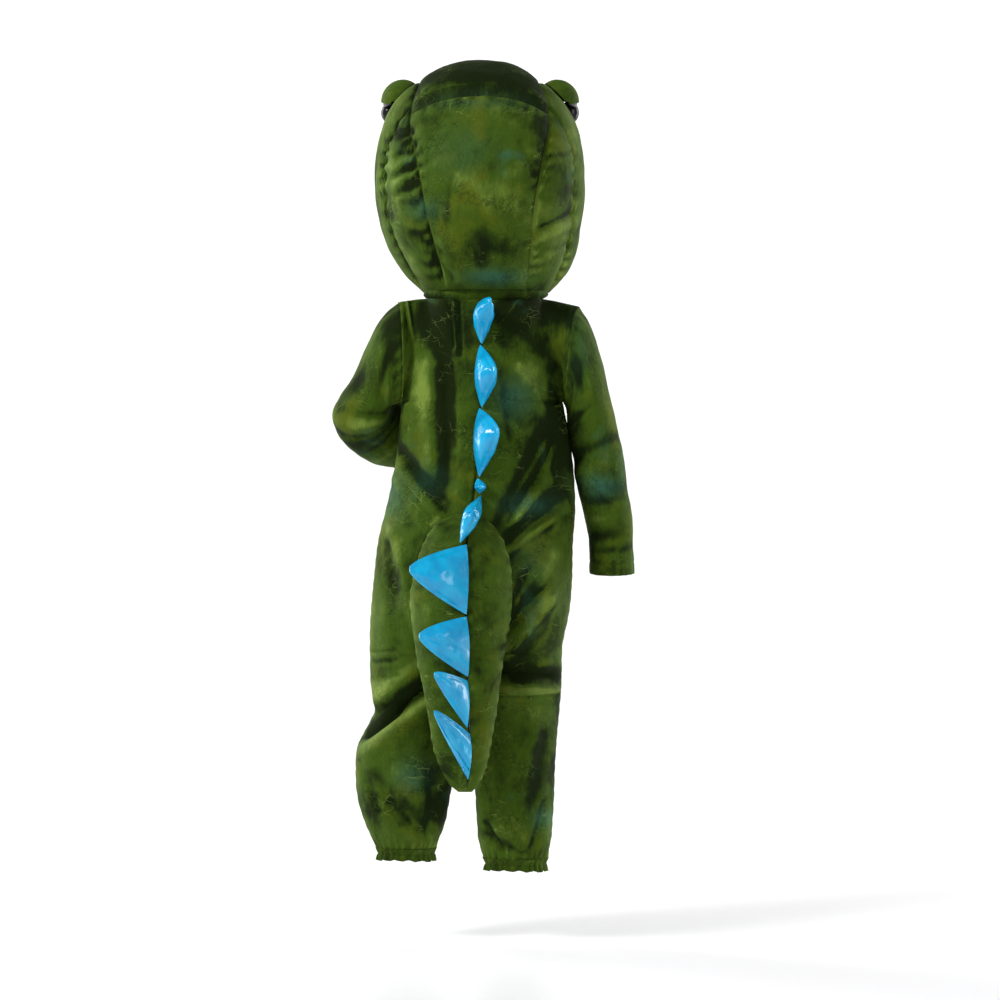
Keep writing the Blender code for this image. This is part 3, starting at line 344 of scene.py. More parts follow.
# Finer creases that the pile cloth takes, read as the folds above are
CREASED = [
    Fold(-1, -38, -8, -34, -62, 2.6, -2.2),
    Fold(-1, -27, -4, -24, -74, 2.6, -2.2),
    Fold(-1, -32, -6, -29, -66, 2.4, 1.4),
    Fold(-1, -92, -6, -84, -52, 2.4, 2.0),
    Fold(-1, 32, -30, 50, -4, 2.4, 1.6),
    Fold(-1, -54, -84, -46, -200, 3.6, 2.2),
    Fold(-1, -36, -90, -30, -190, 3.4, -2.0),
    Fold(-1, -106, -192, -50, -256, 3.4, -3.0),
    Fold(-1, -106, -206, -56, -268, 3.4, 2.2),
    Fold(-1, -104, -226, -60, -280, 3.8, -3.0),
    Fold(-1, -100, -246, -66, -298, 3.8, 1.8),
    Fold(-1, -112, -296, -92, -362, 5.0, 2.6),
    Fold(-1, -118, -312, -110, -372, 4.0, -2.0),
    Fold(-1, 98, -186, 40, -282, 3.8, -3.4),
    Fold(-1, 88, -184, 44, -256, 4.0, 2.4),
    Fold(-1, 96, -250, 40, -298, 4.2, -3.6),
    Fold(-1, 92, -282, 36, -322, 4.6, 3.0),
    Fold(-1, 52, -92, 84, -150, 5.0, 2.0),
    Fold(-1, 28, -96, 40, -180, 5.0, -1.8),
    Fold(-1, 88, -386, 42, -442, 4.2, 3.6),
    Fold(-1, 80, -370, 30, -424, 4.0, -3.2),
    Fold(-1, 62, -346, 34, -402, 4.4, -2.6),
    Fold(-1, 18, -476, 90, -480, 4.4, -4.0),
    Fold(-1, 22, -498, 96, -499, 3.4, 3.2),
    Fold(-1, 60, -500, 74, -560, 5.0, 1.6),
    Fold(-1, -68, -498, -142, -553, 3.4, -6.0),
    Fold(-1, -72, -490, -140, -540, 4.4, 2.4),
    Fold(-1, -138, -450, -110, -447, 3.2, -0.7),
    Fold(-1, -137, -463, -106, -459, 3.6, -0.8),
    Fold(-1, -134, -484, -104, -478, 3.6, -0.6),
    Fold(-1, -96, -404, -70, -460, 4.4, -1.8),
    Fold(-1, -150, -590, -128, -650, 4.6, -2.2),
    Fold(-1, -112, -640, -78, -678, 4.0, -2.4),
    Fold(-1, -60, -620, -64, -676, 3.8, -2.6),
    Fold(-1, 8, -668, 30, -704, 3.6, -2.6),
    Fold(-1, 30, -672, 52, -700, 3.8, 2.0),
    Fold(-1, 84, -640, 66, -696, 4.0, -2.4),
    Fold(1, -88, -120, -34, -196, 4.0, -3.0),
    Fold(1, 88, -130, 36, -214, 4.0, -3.0),
    Fold(1, -92, -196, -44, -250, 4.2, 2.4),
    Fold(1, 92, -206, 44, -262, 4.2, 2.4),
    Fold(1, -100, -300, -52, -352, 4.4, -2.8),
    Fold(1, 88, -338, 38, -392, 4.4, -2.8),
    Fold(1, -130, -486, -56, -508, 3.8, -4.4),
    Fold(1, 14, -484, 90, -500, 3.8, -4.4),
    Fold(1, -126, -524, -66, -548, 4.4, 2.6),
    Fold(1, 18, -520, 84, -540, 4.4, 2.6),
    Fold(1, -116, -640, -84, -680, 4.0, -2.4),
    Fold(1, 30, -650, 62, -694, 4.0, -2.4),
    Fold(1, -26, -30, -20, -96, 3.4, -1.8),
    Fold(1, 36, -28, 30, -90, 3.4, -1.8),
]

# Finer creases of the sleeves
CREASES += [
    Crease(-1, 0.16, 0.25, 0.10, 0.030, -2.2),
    Crease(-1, 0.24, 0.18, 0.09, 0.026, 1.6),
    Crease(-1, 0.40, 0.34, 0.030, 0.20, -3.0),
    Crease(-1, 0.46, 0.30, 0.026, 0.22, 2.4),
    Crease(-1, 0.52, 0.36, 0.026, 0.20, -3.0),
    Crease(-1, 0.64, 0.34, 0.022, 0.18, -2.4),
    Crease(-1, 0.80, 0.60, 0.020, 0.20, -1.8),
    Crease(-1, 0.90, 0.30, 0.018, 0.20, -1.6),
    Crease(1, 0.14, 0.24, 0.12, 0.030, -2.2),
    Crease(1, 0.24, 0.30, 0.12, 0.028, 1.8),
    Crease(1, 0.36, 0.18, 0.020, 0.12, -1.6),
    Crease(1, 0.50, 0.34, 0.022, 0.16, -2.2),
    Crease(1, 0.57, 0.28, 0.024, 0.15, 1.8),
    Crease(1, 0.70, 0.26, 0.020, 0.17, -2.4),
    Crease(1, 0.77, 0.20, 0.022, 0.15, 1.8),
    Crease(1, 0.90, 0.30, 0.018, 0.18, -1.8),
    Crease(1, 0.62, 0.75, 0.022, 0.18, -2.0),
    Crease(1, 0.40, 0.70, 0.022, 0.16, -2.0),
]

SIDE_MEETS = 3.2  # how far the right side of the suit is pushed out against the hanging sleeve

# Direction the painted light comes from (up, to the left and towards the camera), and how strongly a tilt of
# the cloth towards it or away from it is painted lighter or darker
PAINTED_LIGHT_FROM = np.array([-0.64, -0.26, 0.72])
PAINTED_LIGHT_STRENGTH = 1.8

# How far each piece of the head reaches into the seam beside it
SEAM_REACH = 0.2

# How far each half of the tail stops from the middle of its ridge
RIDGE_MEETS = 0.02

# Broad patches: painted light above 0 and painted shade below 0, where light and shade fall on the cloth,
# and blue green patches of the print
Patch = namedtuple("Patch", "face x z wide tall light teal")
PAINTED_SHADE_AND_TEAL_PATCHES = [
    Patch(-1, 0, 292, 120, 40, -1.0, 0.0),
    Patch(-1, -40, 262, 26, 16, 0.25, 0.0),
    Patch(-1, 62, 268, 20, 14, -0.3, 0.0),
    Patch(-1, 0, 240, 62, 9, -0.35, 0.25),
    Patch(-1, 14, 122, 40, 34, 0.75, 0.0),
    Patch(-1, 50, 158, 14, 40, 0.4, 0.0),
    Patch(-1, -20, 178, 40, 30, 0.1, 0.2),
    Patch(-1, -64, 58, 22, 14, 0.4, 0.0),
    Patch(-1, -110, 150, 16, 30, 0.35, 0.0),
    Patch(-1, -98, 196, 12, 24, -0.5, 0.0),
    Patch(-1, 78, 196, 9, 40, -0.45, 0.0),
    Patch(-1, 114, 190, 14, 30, 0.45, 0.0),
    Patch(-1, 20, 24, 34, 9, 0.0, 0.9),
    Patch(-1, -68, 108, 20, 12, 0.0, 0.55),
    Patch(-1, 30, 68, 26, 16, -0.35, 0.0),
    Patch(-1, -60, -14, 32, 26, -0.75, 0.0),
    Patch(-1, -34, -50, 16, 46, -0.45, 0.0),
    Patch(-1, 66, -14, 52, 24, -0.85, 0.0),
    Patch(-1, 34, -44, 18, 46, -0.5, 0.0),
    Patch(-1, 66, -90, 22, 24, 0.3, 0.0),
    Patch(-1, -76, -106, 16, 30, 0.75, 0.0),
    Patch(-1, -66, -176, 12, 44, 0.3, 0.0),
    Patch(-1, -46, -120, 10, 60, -0.6, 0.0),
    Patch(-1, -22, -210, 12, 40, -0.35, 0.0),
    Patch(-1, 104, -186, 14, 66, -0.9, 0.0),
    Patch(-1, 58, -256, 44, 20, -0.6, 0.0),
    Patch(-1, 42, -128, 24, 22, -0.2, 0.75),
    Patch(-1, 62, -262, 28, 13, 0.0, 0.6),
    Patch(-1, -110, -250, 14, 26, 0.25, 0.5),
    Patch(-1, -62, -232, 20, 18, -0.3, 0.3),
    Patch(-1, -104, -312, 14, 36, 0.6, 0.0),
    Patch(-1, 66, -332, 20, 30, 0.25, 0.2),
    Patch(-1, -122, -472, 22, 14, -0.6, 0.0),
    Patch(-1, -96, -420, 20, 40, 0.2, 0.0),
    Patch(-1, 52, -432, 18, 34, -0.75, 0.0),
    Patch(-1, 56, -482, 42, 12, -0.9, 0.0),
    Patch(-1, 54, -514, 26, 14, 0.4, 0.0),
    Patch(-1, 60, -548, 24, 12, -0.35, 0.0),
    Patch(-1, -96, -600, 30, 44, 0.4, 0.0),
    Patch(-1, -84, -604, 20, 20, 0.0, 0.6),
    Patch(-1, -44, -628, 16, 44, -0.75, 0.0),
    Patch(-1, 84, -660, 14, 12, 0.2, 0.65),
    Patch(-1, 98, -560, 8, 70, -0.6, 0.0),
    Patch(-1, 40, -610, 24, 30, 0.35, 0.0),
    Patch(-1, 152, -238, 26, 14, 0.15, 0.85),
    Patch(-1, 128, -60, 12, 40, 0.4, 0.25),
    Patch(-1, 150, -150, 16, 40, 0.2, 0.0),
    Patch(-1, 120, -150, 10, 80, -0.5, 0.0),
    Patch(-1, -150, -150, 20, 20, 0.3, 0.0),
    Patch(-1, -112, -60, 10, 40, -0.6, 0.0),
    Patch(-1, -108, -170, 12, 26, -0.7, 0.0),
    Patch(1, -60, -90, 30, 60, 0.3, 0.0),
    Patch(1, 60, -120, 30, 60, 0.3, 0.0),
    Patch(1, 10, -60, 30, 30, -0.5, 0.0),
    Patch(1, -50, -240, 24, 20, 0.0, 0.6),
    Patch(1, 60, -300, 24, 24, -0.4, 0.3),
    Patch(1, -90, -420, 26, 40, 0.3, 0.0),
    Patch(1, 54, -480, 34, 16, -0.7, 0.0),
    Patch(1, -96, -510, 34, 16, -0.7, 0.0),
    Patch(1, 46, -600, 26, 30, 0.3, 0.5),
    Patch(1, -100, -620, 26, 30, 0.3, 0.0),
]

# Puckers that gather the head's padding into its seams: where along the seam, spread and depth
Pucker = namedtuple("Pucker", "piece edge along spread depth")
PUCKERS = [
    Pucker("gore_left", "start", 0.74, 0.16, 2.2),
    Pucker("gore_left", "start", 0.45, 0.20, 1.6),
    Pucker("gore_left", "end", 0.62, 0.26, 2.4),
    Pucker("gore_left", "start", 0.08, 0.10, 2.0),
    Pucker("gore_right", "start", 0.70, 0.22, 1.2),
    Pucker("gore_right", "end", 0.50, 0.30, 1.2),
    Pucker("gore_right", "start", 0.16, 0.16, 1.8),
    Pucker("cheek_left", "start", 0.60, 0.30, 1.8),
    Pucker("cheek_right", "start", 0.40, 0.30, 1.6),
    Pucker("cheek_right", "start", 0.12, 0.16, 2.0),
    Pucker("back", "start", 0.70, 0.22, 1.0),
    Pucker("back", "end", 0.60, 0.26, 1.0),
    Pucker("back", "top", 0.50, 0.50, 0.8),
    Pucker("crown", "low", 0.50, 0.50, 0.8),
]

# Creases across the head's padding, as seen from the back
HOOD_FOLDS = [
    Fold(-1, -100, 176, -84, 184, 4.0, -3.4),
    Fold(-1, -104, 150, -82, 158, 4.5, -3.8),
    Fold(-1, -100, 128, -78, 134, 4.0, -3.0),
    Fold(-1, -104, 206, -88, 204, 4.0, -3.4),
    Fold(-1, -92, 114, -70, 98, 4.0, -2.2),
    Fold(-1, -82, 76, -54, 52, 5.0, -3.0),
    Fold(-1, -60, 44, -40, 22, 4.0, -3.6),
    Fold(-1, 76, 84, 114, 104, 4.0, -4.0),
    Fold(-1, 76, 72, 112, 90, 4.5, 2.0),
    Fold(-1, 74, 56, 104, 66, 4.0, -2.2),
    Fold(-1, 84, 170, 110, 176, 4.0, -1.6),
    Fold(-1, 52, 186, 70, 150, 5.0, -2.0),
    Fold(-1, -34, 142, -40, 84, 5.0, -1.4),
    Fold(-1, -20, 240, 10, 232, 4.0, -1.4),
    Fold(-1, 30, 240, 58, 230, 4.0, -1.6),
    Fold(1, -96, 60, -70, 90, 5.0, -2.6),
    Fold(1, 96, 66, 70, 94, 5.0, -2.6),
    Fold(1, -100, 150, -84, 176, 5.0, -2.2),
    Fold(1, 100, 140, 84, 170, 5.0, -2.2),
]


def curve(at, table, across, along):
    """Smooth line through one column of a table, read at another of its columns."""
    xs = np.array([getattr(row, across) for row in table], float)
    ys = np.array([getattr(row, along) for row in table], float)
    return smooth(at, xs, ys)


def smooth(at, xs, ys):
    slopes = np.gradient(ys, xs, axis=0)
    place = np.clip(np.searchsorted(xs, at, side="right") - 1, 0, len(xs) - 2)
    step = xs[place + 1] - xs[place]
    t = np.clip((at - xs[place]) / step, 0.0, 1.0)
    if ys.ndim > 1:
        t = t[..., None]
        step = step[..., None]
    start = (1 + 2 * t) * (1 - t) ** 2 * ys[place] + t * (1 - t) ** 2 * step * slopes[place]
    end = t * t * (3 - 2 * t) * ys[place + 1] - t * t * (1 - t) * step * slopes[place + 1]
    return start + end


def unit(vectors):
    return vectors / np.maximum(np.linalg.norm(vectors, axis=-1, keepdims=True), 1e-9)


def grid_normals(grid, wrap=False):
    down = np.gradient(grid, axis=0)
    across = np.gradient(grid, axis=1)
    if wrap:
        across = np.roll(grid, -1, 1) - np.roll(grid, 1, 1)
    return unit(np.cross(across, down))


def back_at(tree, x, z, fallback, spread=0.0):
    """Depth of the suit's back seen from behind, at its nearest within a small spread."""
    found = []
    for dx, dz in ((0, 0), (spread, 0), (-spread, 0), (0, spread), (0, -spread)):
        hit = tree.ray_cast(Vector((x + dx, -REACH, z + dz)), Vector((0, 1, 0)))[0]
        if hit is not None:
            found.append(hit.y)
    return min(found) if found else fallback


def fade(value):
    value = np.clip(value, 0.0, 1.0)
    return value * value * (3 - 2 * value)


def torso_row(side, face, u, depth):
    angle = u * pi / 2
    half = curve(depth, TORSO, "depth", "left" if side < 0 else "right")
    reach = curve(depth, TORSO, "depth", "back" if face < 0 else "front")
    x = curve(depth, TORSO, "depth", "centre") + side * half * np.sin(angle)
    y = BODY_Y + face * reach * np.cos(angle)
    return np.stack([x, y, np.full_like(u, -depth)], -1)


def leg_row(side, face, u, depth):
    table = LEGS[side]
    inner = curve(depth, table, "depth", "inner")
    outer = curve(depth, table, "depth", "outer")
    reach = curve(depth, table, "depth", "back" if face < 0 else "front")
    shift = curve(depth, table, "depth", "shift")
    x = (inner + outer) / 2 - (outer - inner) / 2 * np.cos(pi * u)
    y = BODY_Y + shift + face * reach * np.sin(pi * u)
    return np.stack([x, y, np.full_like(u, -depth)], -1)


def top_edge(side, face, u):
    """Neckline, then the shoulder seam out to its tip."""
    centre = curve(np.zeros_like(u), TORSO, "depth", "centre")
    angle = np.clip(u / NECK_SHARE, 0, 1) * pi / 2
    neck = np.stack(
        [
            centre + side * NECK_HALF * np.sin(angle),
            BODY_Y + face * NECK_DEPTH[face] * np.cos(angle),
            NECK_TOP - NECK_DROP[face] * np.cos(angle) ** 2,
        ],
        -1,
    )
    share = np.clip((u - NECK_SHARE) / (1 - NECK_SHARE), 0, 1)[:, None]
    tip_x, tip_z = SHOULDER_TIP[side]
    return neck * (1 - share) + np.array([tip_x, BODY_Y, tip_z]) * share


def yoke_row(side, face, u, share):
    """Row between the top edge and the underarm, ending on the armhole."""
    top = top_edge(side, face, u)
    low = torso_row(side, face, u, UNDERARM)
    turn = share * pi / 2
    sweep = (1 - np.cos(pi * share)) / 2
    hold = u**3
    x = top[:, 0] + (low[:, 0] - top[:, 0]) * share
    x = x - side * ARMHOLE_INSET * hold * np.sin(pi * share)
    y = top[:, 1] + (low[:, 1] - top[:, 1]) * np.sin(turn)
    y = (1 - hold) * y + hold * (BODY_Y + face * ARMHOLE_HALF * np.sin(pi * share))
    z = top[:, 2] + (low[:, 2] - top[:, 2]) * (1 - np.cos(turn))
    z = (1 - hold) * z + hold * (top[:, 2] + (low[:, 2] - top[:, 2]) * sweep)
    return np.stack([x, y, z], -1)


def armhole(grids, side):
    """Armhole line from the underarm over the back to the shoulder tip and down the front."""
    lines = []
    for part in (0, 1):
        back = grids[side, -1][part][: YOKE_ROWS + 1, -1][::-1]
        front = grids[side, 1][part][: YOKE_ROWS + 1, -1]
        lines.append(np.concatenate([back, front[1:-1]]))
    return lines[0], unit(lines[1])


def sleeve_points(side, loop, steps):
    """Rings of the sleeve, from the armhole to the cuff."""
    table = SLEEVES[side]
    knots = np.arange(len(table), dtype=float)
    at = np.linspace(0, len(table) - 1, steps + 1)
    outer = smooth(at, knots, np.array([ring.outer for ring in table], float))
    inner = smooth(at, knots, np.array([ring.inner for ring in table], float))
    half = smooth(at, knots, np.array([ring.half for ring in table], float))
    middle = (outer + inner) / 2
    path = unit(np.gradient(middle, axis=0))
    path[0] = (side, 0, 0)
    spread = unit(outer - inner)
    back = unit(np.cross(path, spread)) * side
    angle = np.arange(len(loop)) * 2 * pi / len(loop)
    radius = np.linalg.norm(outer - inner, axis=-1) / 2
    rings = middle[:, None] - np.cos(angle)[None, :, None] * (spread * radius[:, None])[:, None]
    rings = rings + np.sin(angle)[None, :, None] * (back * half[:, None])[:, None]
    blend = np.interp(at, np.arange(len(SLEEVE_BLEND) + 1), SLEEVE_BLEND + (1.0,))
    share = ((1 - np.cos(angle)) / 2)[None, :, None]
    start = loop[None] + (inner - inner[0])[:, None] * (1 - share) + (outer - outer[0])[:, None] * share
    return start * (1 - blend[:, None, None]) + rings * blend[:, None, None]


def creases_at(side, along, turn):
    total = np.zeros(np.broadcast(along, turn).shape)
    for crease in CREASES:
        if crease.side != side:
            continue
        round_it = (turn - crease.turn + 0.5) % 1.0 - 0.5
        span = ((along - crease.along) / crease.length) ** 2 + (round_it / crease.spread) ** 2
        total += crease.height * np.exp(-span)
    return total


def head_radius(turn):
    return curve(turn, PROFILE, "turn", "radius")


def head_share(x):
    """Share of the profile's radius that is left at a distance from the middle."""
    return (1 - np.abs(x / HEAD_HALF) ** HEAD_ROUND) ** (1 / HEAD_ROUND)


def lean(z):
    return LEAN * fade(1 - (z - NECK_LINE) / LEAN_HEIGHT)


def head_level(points):
    """Value that is 1 on the head's form, less inside it."""
    away = points[..., 1] - HEAD_Y
    up = points[..., 2] - HEAD_Z
    turn = np.degrees(np.arctan2(up, -away))
    turn = np.where(turn < -90, turn + 360, turn)
    reach = np.hypot(away, up) / head_radius(turn)
    return reach**HEAD_ROUND + np.abs(points[..., 0] / HEAD_HALF) ** HEAD_ROUND


def head_normals(points):
    slopes = []
    for axis in range(3):
        step = np.zeros(3)
        step[axis] = 0.5
        slopes.append(head_level(points + step) - head_level(points - step))
    return unit(np.stack(slopes, -1))


def head_side(side, y, z):
    """Point of the head's side over a place in its side view."""
    away = y - HEAD_Y
    up = z - HEAD_Z
    turn = np.degrees(np.arctan2(up, -away))
    turn = np.where(turn < -90, turn + 360, turn)
    reach = np.clip(np.hypot(away, up) / head_radius(turn), 0, 0.9999)
    x = HEAD_HALF * (1 - reach**HEAD_ROUND) ** (1 / HEAD_ROUND)
    return np.stack([side * x, y, z], -1)


def first_turn(x):
    """Turn at which the back of the head meets the neck line."""
    turns = np.linspace(-90, -45, 200)
    found = []
    for value in np.atleast_1d(x):
        heights = HEAD_Z + head_share(value) * head_radius(turns) * np.sin(np.radians(turns))
        found.append(np.interp(NECK_LINE, heights, turns))
    return np.array(found)


def strip_row(turn, share):
    """Row of the head's centre strip; share runs from -1 at one seam to 1 at the other."""
    x = share * curve(turn, CENTRE_STRIP, "turn", "half")
    reach = head_share(x) * head_radius(turn)
    angle = np.radians(turn)
    return np.stack([x, HEAD_Y - reach * np.cos(angle), HEAD_Z + reach * np.sin(angle)], -1)


def back_strip(t, share):
    share = np.atleast_1d(share)
    rough = curve(-75.0, CENTRE_STRIP, "turn", "half")
    low = first_turn(share * rough)
    turn = low + (CROWN_SEAM - low) * t
    return strip_row(turn, share)


def crown_strip(t, share):
    share = np.atleast_1d(share)
    turn = np.full_like(share, CROWN_SEAM + (BROW - CROWN_SEAM) * t)
    return strip_row(turn, share)


def bent_edge(points, steps):
    """Points on the smooth line through a few places of the side view."""
    knots = np.linspace(0, 1, len(points))
    return smooth(steps, knots, np.array(points, float))


def patch(side, low, top, start, end):
    """Side panel filled in between four lines of the side view."""
    rows = len(start)
    columns = len(low)
    v = close_spacing(rows - 1)[:, None, None]
    u = close_spacing(columns - 1)[None, :, None]
    across = (1 - v) * low[None] + v * top[None]
    upward = (1 - u) * start[:, None] + u * end[:, None]
    ends = (1 - v) * ((1 - u) * low[0] + u * low[-1]) + v * ((1 - u) * top[0] + u * top[-1])
    flat = across + upward - ends
    return head_side(side, flat[..., 0], flat[..., 1])


def dome_frame(side, y, z):
    """Place on the head with the directions out of it, towards the lid's mouth and along its rim."""
    point = head_side(side, np.array([y]), np.array([z]))
    normal = head_normals(point)[0]
    front = np.array([side * LID_AIM[0], LID_AIM[1], LID_AIM[2]])
    front = unit(front - normal * (front @ normal))
    return point[0], normal, front, np.cross(normal, front)


def seat_on(tree, point, normal, gap):
    """Move a point along a line until it lies a gap above the surface and what is round it."""
    aside = unit(np.cross(normal, (0.0, 1.0, 0.0)))
    best = None
    for step in (aside * 0, aside, -aside, np.cross(normal, aside), np.cross(aside, normal)):
        hit = tree.ray_cast(Vector(point + step * SPREAD + normal * 60.0), Vector(-normal))[0]
        if hit is not None:
            rise = (np.array(hit) - point) @ normal
            best = rise if best is None else max(best, rise)
    return point if best is None else point + normal * (best + gap)


def tail_base(tree, x, row):
    """Depth of the tail's edge line: on the seat above, hanging clear below."""
    seat = back_at(tree, x, row.z, TAIL_FREE_Y, TAIL_SPREAD) - TAIL_SEAT
    free = fade(row.away / 18.0)
    return min(seat - row.front, seat * (1 - free) + (TAIL_FREE_Y - 8.0) * free)


def clear_of(tree, point, gap):
    """Keep a point of a spike behind what it stands on."""
    floor = back_at(tree, point[0], point[2], REACH, SPREAD) - gap
    return np.array([point[0], min(point[1], floor), point[2]])


def settle(tree, points, count, gap):
    """Lower a piece until its foot, its first ring of points, is a gap from the surface."""
    rim = np.array(points[:count])
    spine = (rim + np.roll(rim[::-1], 1, 0)) / 2
    least = REACH
    for line in (rim, spine):
        for share in np.linspace(0, 1, 7)[:-1]:
            for x, y, z in line + (np.roll(line, -1, 0) - line) * share:
                least = min(least, back_at(tree, x, z, y + gap, 3 * SEAM) - y)
    return [point + np.array([0, least - gap, 0]) for point in points]

def folds_at(folds, face, x, z):
    """Sum of the soft folds at points seen from the back or the front."""
    total = np.zeros_like(x)
    for fold in folds:
        if fold.face != face:
            continue
        run = np.array([fold.x1 - fold.x0, fold.z1 - fold.z0], float)
        length = np.hypot(*run)
        along = ((x - fold.x0) * run[0] + (z - fold.z0) * run[1]) / length
        aside = ((x - fold.x0) * run[1] - (z - fold.z0) * run[0]) / length
        past = np.maximum(0, np.maximum(-along, along - length))
        total += fold.height * np.exp(-((aside / fold.width) ** 2) - (past / (1.4 * fold.width)) ** 2)
    return total


def rumple(points, size, seed):
    """Soft unevenness of cloth at each point, from -1 to 1."""
    places = points.reshape(-1, 3) / size + seed
    return np.array([noise.noise(Vector(place)) for place in places]).reshape(points.shape[:-1])


def arcs(grid, axis):
    """Distance run along the rows or columns of a grid of points."""
    steps = np.linalg.norm(np.diff(grid, axis=axis), axis=-1)
    start = np.zeros_like(np.take(steps, [0], axis))
    return np.concatenate([start, steps.cumsum(axis)], axis)


def flat_places(grid):
    """Place of each point on its flat cut piece, in metres."""
    across = arcs(grid, 1)
    across = across - across[:, -1:] / 2
    down = arcs(grid, 0).mean(1, keepdims=True) + np.zeros_like(across)
    return np.stack([across, down], -1) * MM


def patch_values(points, middle):
    """Painted light and shade, and how blue green the print is, at each point."""
    light = np.zeros(points.shape[:-1])
    teal = np.zeros(points.shape[:-1])
    for patch in PAINTED_SHADE_AND_TEAL_PATCHES:
        seen = fade((patch.face * (points[..., 1] - middle) + 14) / 28)
        across = (points[..., 0] - patch.x) / patch.wide
        upward = (points[..., 2] - patch.z) / patch.tall
        away = across**2 + upward**2
        light += patch.light * seen * np.exp(-away)
        teal += patch.teal * seen * np.exp(-away)
    return light, teal


def select_only(piece):
    bpy.ops.object.select_all(action="DESELECT")
    piece.select_set(True)
    bpy.context.view_layer.objects.active = piece


def lay_grid(name, grid, outward, wrap=False, relief=None, middle=0.0, shift=0.0):
    """Mesh over a grid of points, facing outward, with its flat places, its print values and its painted
    light and shade.
    """
    facing = grid_normals(grid, wrap)
    turned = np.sum(facing * outward) < 0
    painted_tilt_light = np.zeros(grid.shape[:2])
    if relief is None:
        relief = painted_tilt_light
    else:
        # Painted light and shade: cloth tilted towards the painted light's direction is lighter, cloth
        # tilted away from it is darker
        painted_tilt_light = np.clip(((-facing if turned else facing) - outward) @ PAINTED_LIGHT_FROM * PAINTED_LIGHT_STRENGTH, -0.9, 0.9)
    # Painted shade in the hollows of folds and painted highlights on their ridges, from the relief, added to
    # the tilt
    relief = np.clip(relief / 6.0, -0.7, 0.35) + painted_tilt_light
    if wrap:
        grid = np.concatenate([grid, grid[:, :1]], 1)
        relief = np.concatenate([relief, relief[:, :1]], 1)
    places = flat_places(grid) + shift
    light, teal = patch_values(grid, middle)
    # The light attribute holds painted light and shade from the patches, the folds and the tilt
    light = light + relief
    if turned:
        grid, places, light, teal = (value[:, ::-1] for value in (grid, places, light, teal))
    rows, columns = grid.shape[:2]
    bpy.ops.object.select_all(action="DESELECT")
    bpy.ops.mesh.primitive_grid_add(x_subdivisions=columns - 1, y_subdivisions=rows - 1, size=1)
    piece = bpy.context.object
    piece.name = name
    mesh = piece.data
    mesh.name = name
    if len(mesh.vertices) != rows * columns:
        raise RuntimeError(name + ": the grid has another number of points than its rows and columns")
    mesh.vertices.foreach_set("co", (grid * MM).ravel())
    corners = np.empty(len(mesh.loops), int)
    mesh.loops.foreach_get("vertex_index", corners)
    layer = mesh.uv_layers.active
    layer.name = "flat"
    layer.data.foreach_set("uv", places.reshape(-1, 2)[corners].ravel())
    for label, values in (("light", light), ("teal", teal)):
        mesh.attributes.new(label, "FLOAT", "POINT").data.foreach_set("value", values.ravel())
    mesh.update()
    if wrap:
        bpy.ops.object.mode_set(mode="EDIT")
        bpy.ops.mesh.select_all(action="SELECT")
        bpy.ops.mesh.remove_doubles(threshold=0.00002)
        bpy.ops.object.mode_set(mode="OBJECT")
    return piece


def close_ends(piece):
    select_only(piece)
    bpy.ops.object.mode_set(mode="EDIT")
    bpy.ops.mesh.select_all(action="SELECT")
    bpy.ops.mesh.fill_holes(sides=0)
    bpy.ops.object.mode_set(mode="OBJECT")


def thicken(piece, wall):
    """Give a sheet its wall, inwards from the face that shows, with the backing inside."""
    select_only(piece)
    solid = piece.modifiers.new("Wall", "SOLIDIFY")
    solid.thickness = wall
    solid.offset = -1.0
    solid.material_offset = 1
    bpy.ops.object.modifier_apply(modifier=solid.name)
    bpy.ops.object.shade_smooth_by_angle(angle=radians(62))


def soften(piece, angle=62):
    select_only(piece)
    bpy.ops.object.shade_smooth_by_angle(angle=radians(angle))


def wear(piece, nodes, *looks):
    """Put a finished piece on the frame in place of its solids."""
    for finish in looks:
        piece.data.materials.append(finish)
    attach(piece, "root")
    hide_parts(*nodes)
    return piece


def cut(grid, wrap=False):
    """Measure the width and length of a cloth piece's flat cut from its own grid of points; the values are
    not kept.
    """
    whole = np.concatenate([grid, grid[:, :1]], 1) if wrap else grid
    width = arcs(whole, 1)[:, -1].max() * MM
    length = arcs(whole, 0)[-1].max() * MM


def close_spacing(count):
    """Even steps from 0 to 1, drawn closer at both ends."""
    t = np.linspace(0, 1, count + 1)
    return t - 0.1 * np.sin(2 * pi * t)


def gather(turn):
    """Uneven ripple round a gathered hem."""
    return np.cos(GATHERS * turn + 1.3 * np.sin(3 * turn) + 0.9 * np.sin(7 * turn + 1.0))


def seam_ripple(along, phase):
    return np.cos(along / 2.7 + 2.4 * np.sin(along / 33.0 + phase) + phase)


def base_panel(side, face):
    """Points and normals of one quarter of the suit before it is creased."""
    u = close_spacing(PANEL_COLUMNS)
    rows = [yoke_row(side, face, u, share) for share in np.linspace(0, 1, YOKE_ROWS + 1)]
    rows += [torso_row(side, face, u, d) for d in np.linspace(UNDERARM, FORK_START, TORSO_ROWS + 1)[1:]]
    for angle in np.linspace(0, pi / 2, CROTCH_ROWS + 1)[1:]:
        depth = FORK_START + (FORK - FORK_START) * np.sin(angle)
        share = 1 - np.cos(angle)
        flat = torso_row(side, face, u, depth)
        rows.append((1 - share) * flat + share * leg_row(side, face, u, depth))
    ankle = LEGS[side][-1].depth
    rows += [leg_row(side, face, u, d) for d in np.linspace(FORK, ankle, LEG_ROWS + 1)[1:]]
    base = np.array(rows)
    fork = YOKE_ROWS + TORSO_ROWS + CROTCH_ROWS
    normals = grid_normals(base) * side * face
    normals[: fork + 1, 0, 0] = 0
    normals[fork, 0] = (0, face * 0.2, -1)
    normals[YOKE_ROWS:, -1, 1] = 0
    normals[fork + 1 :, 0, 1] = 0
    normals[0, u >= NECK_SHARE, 1] = 0
    return u, base, unit(normals)


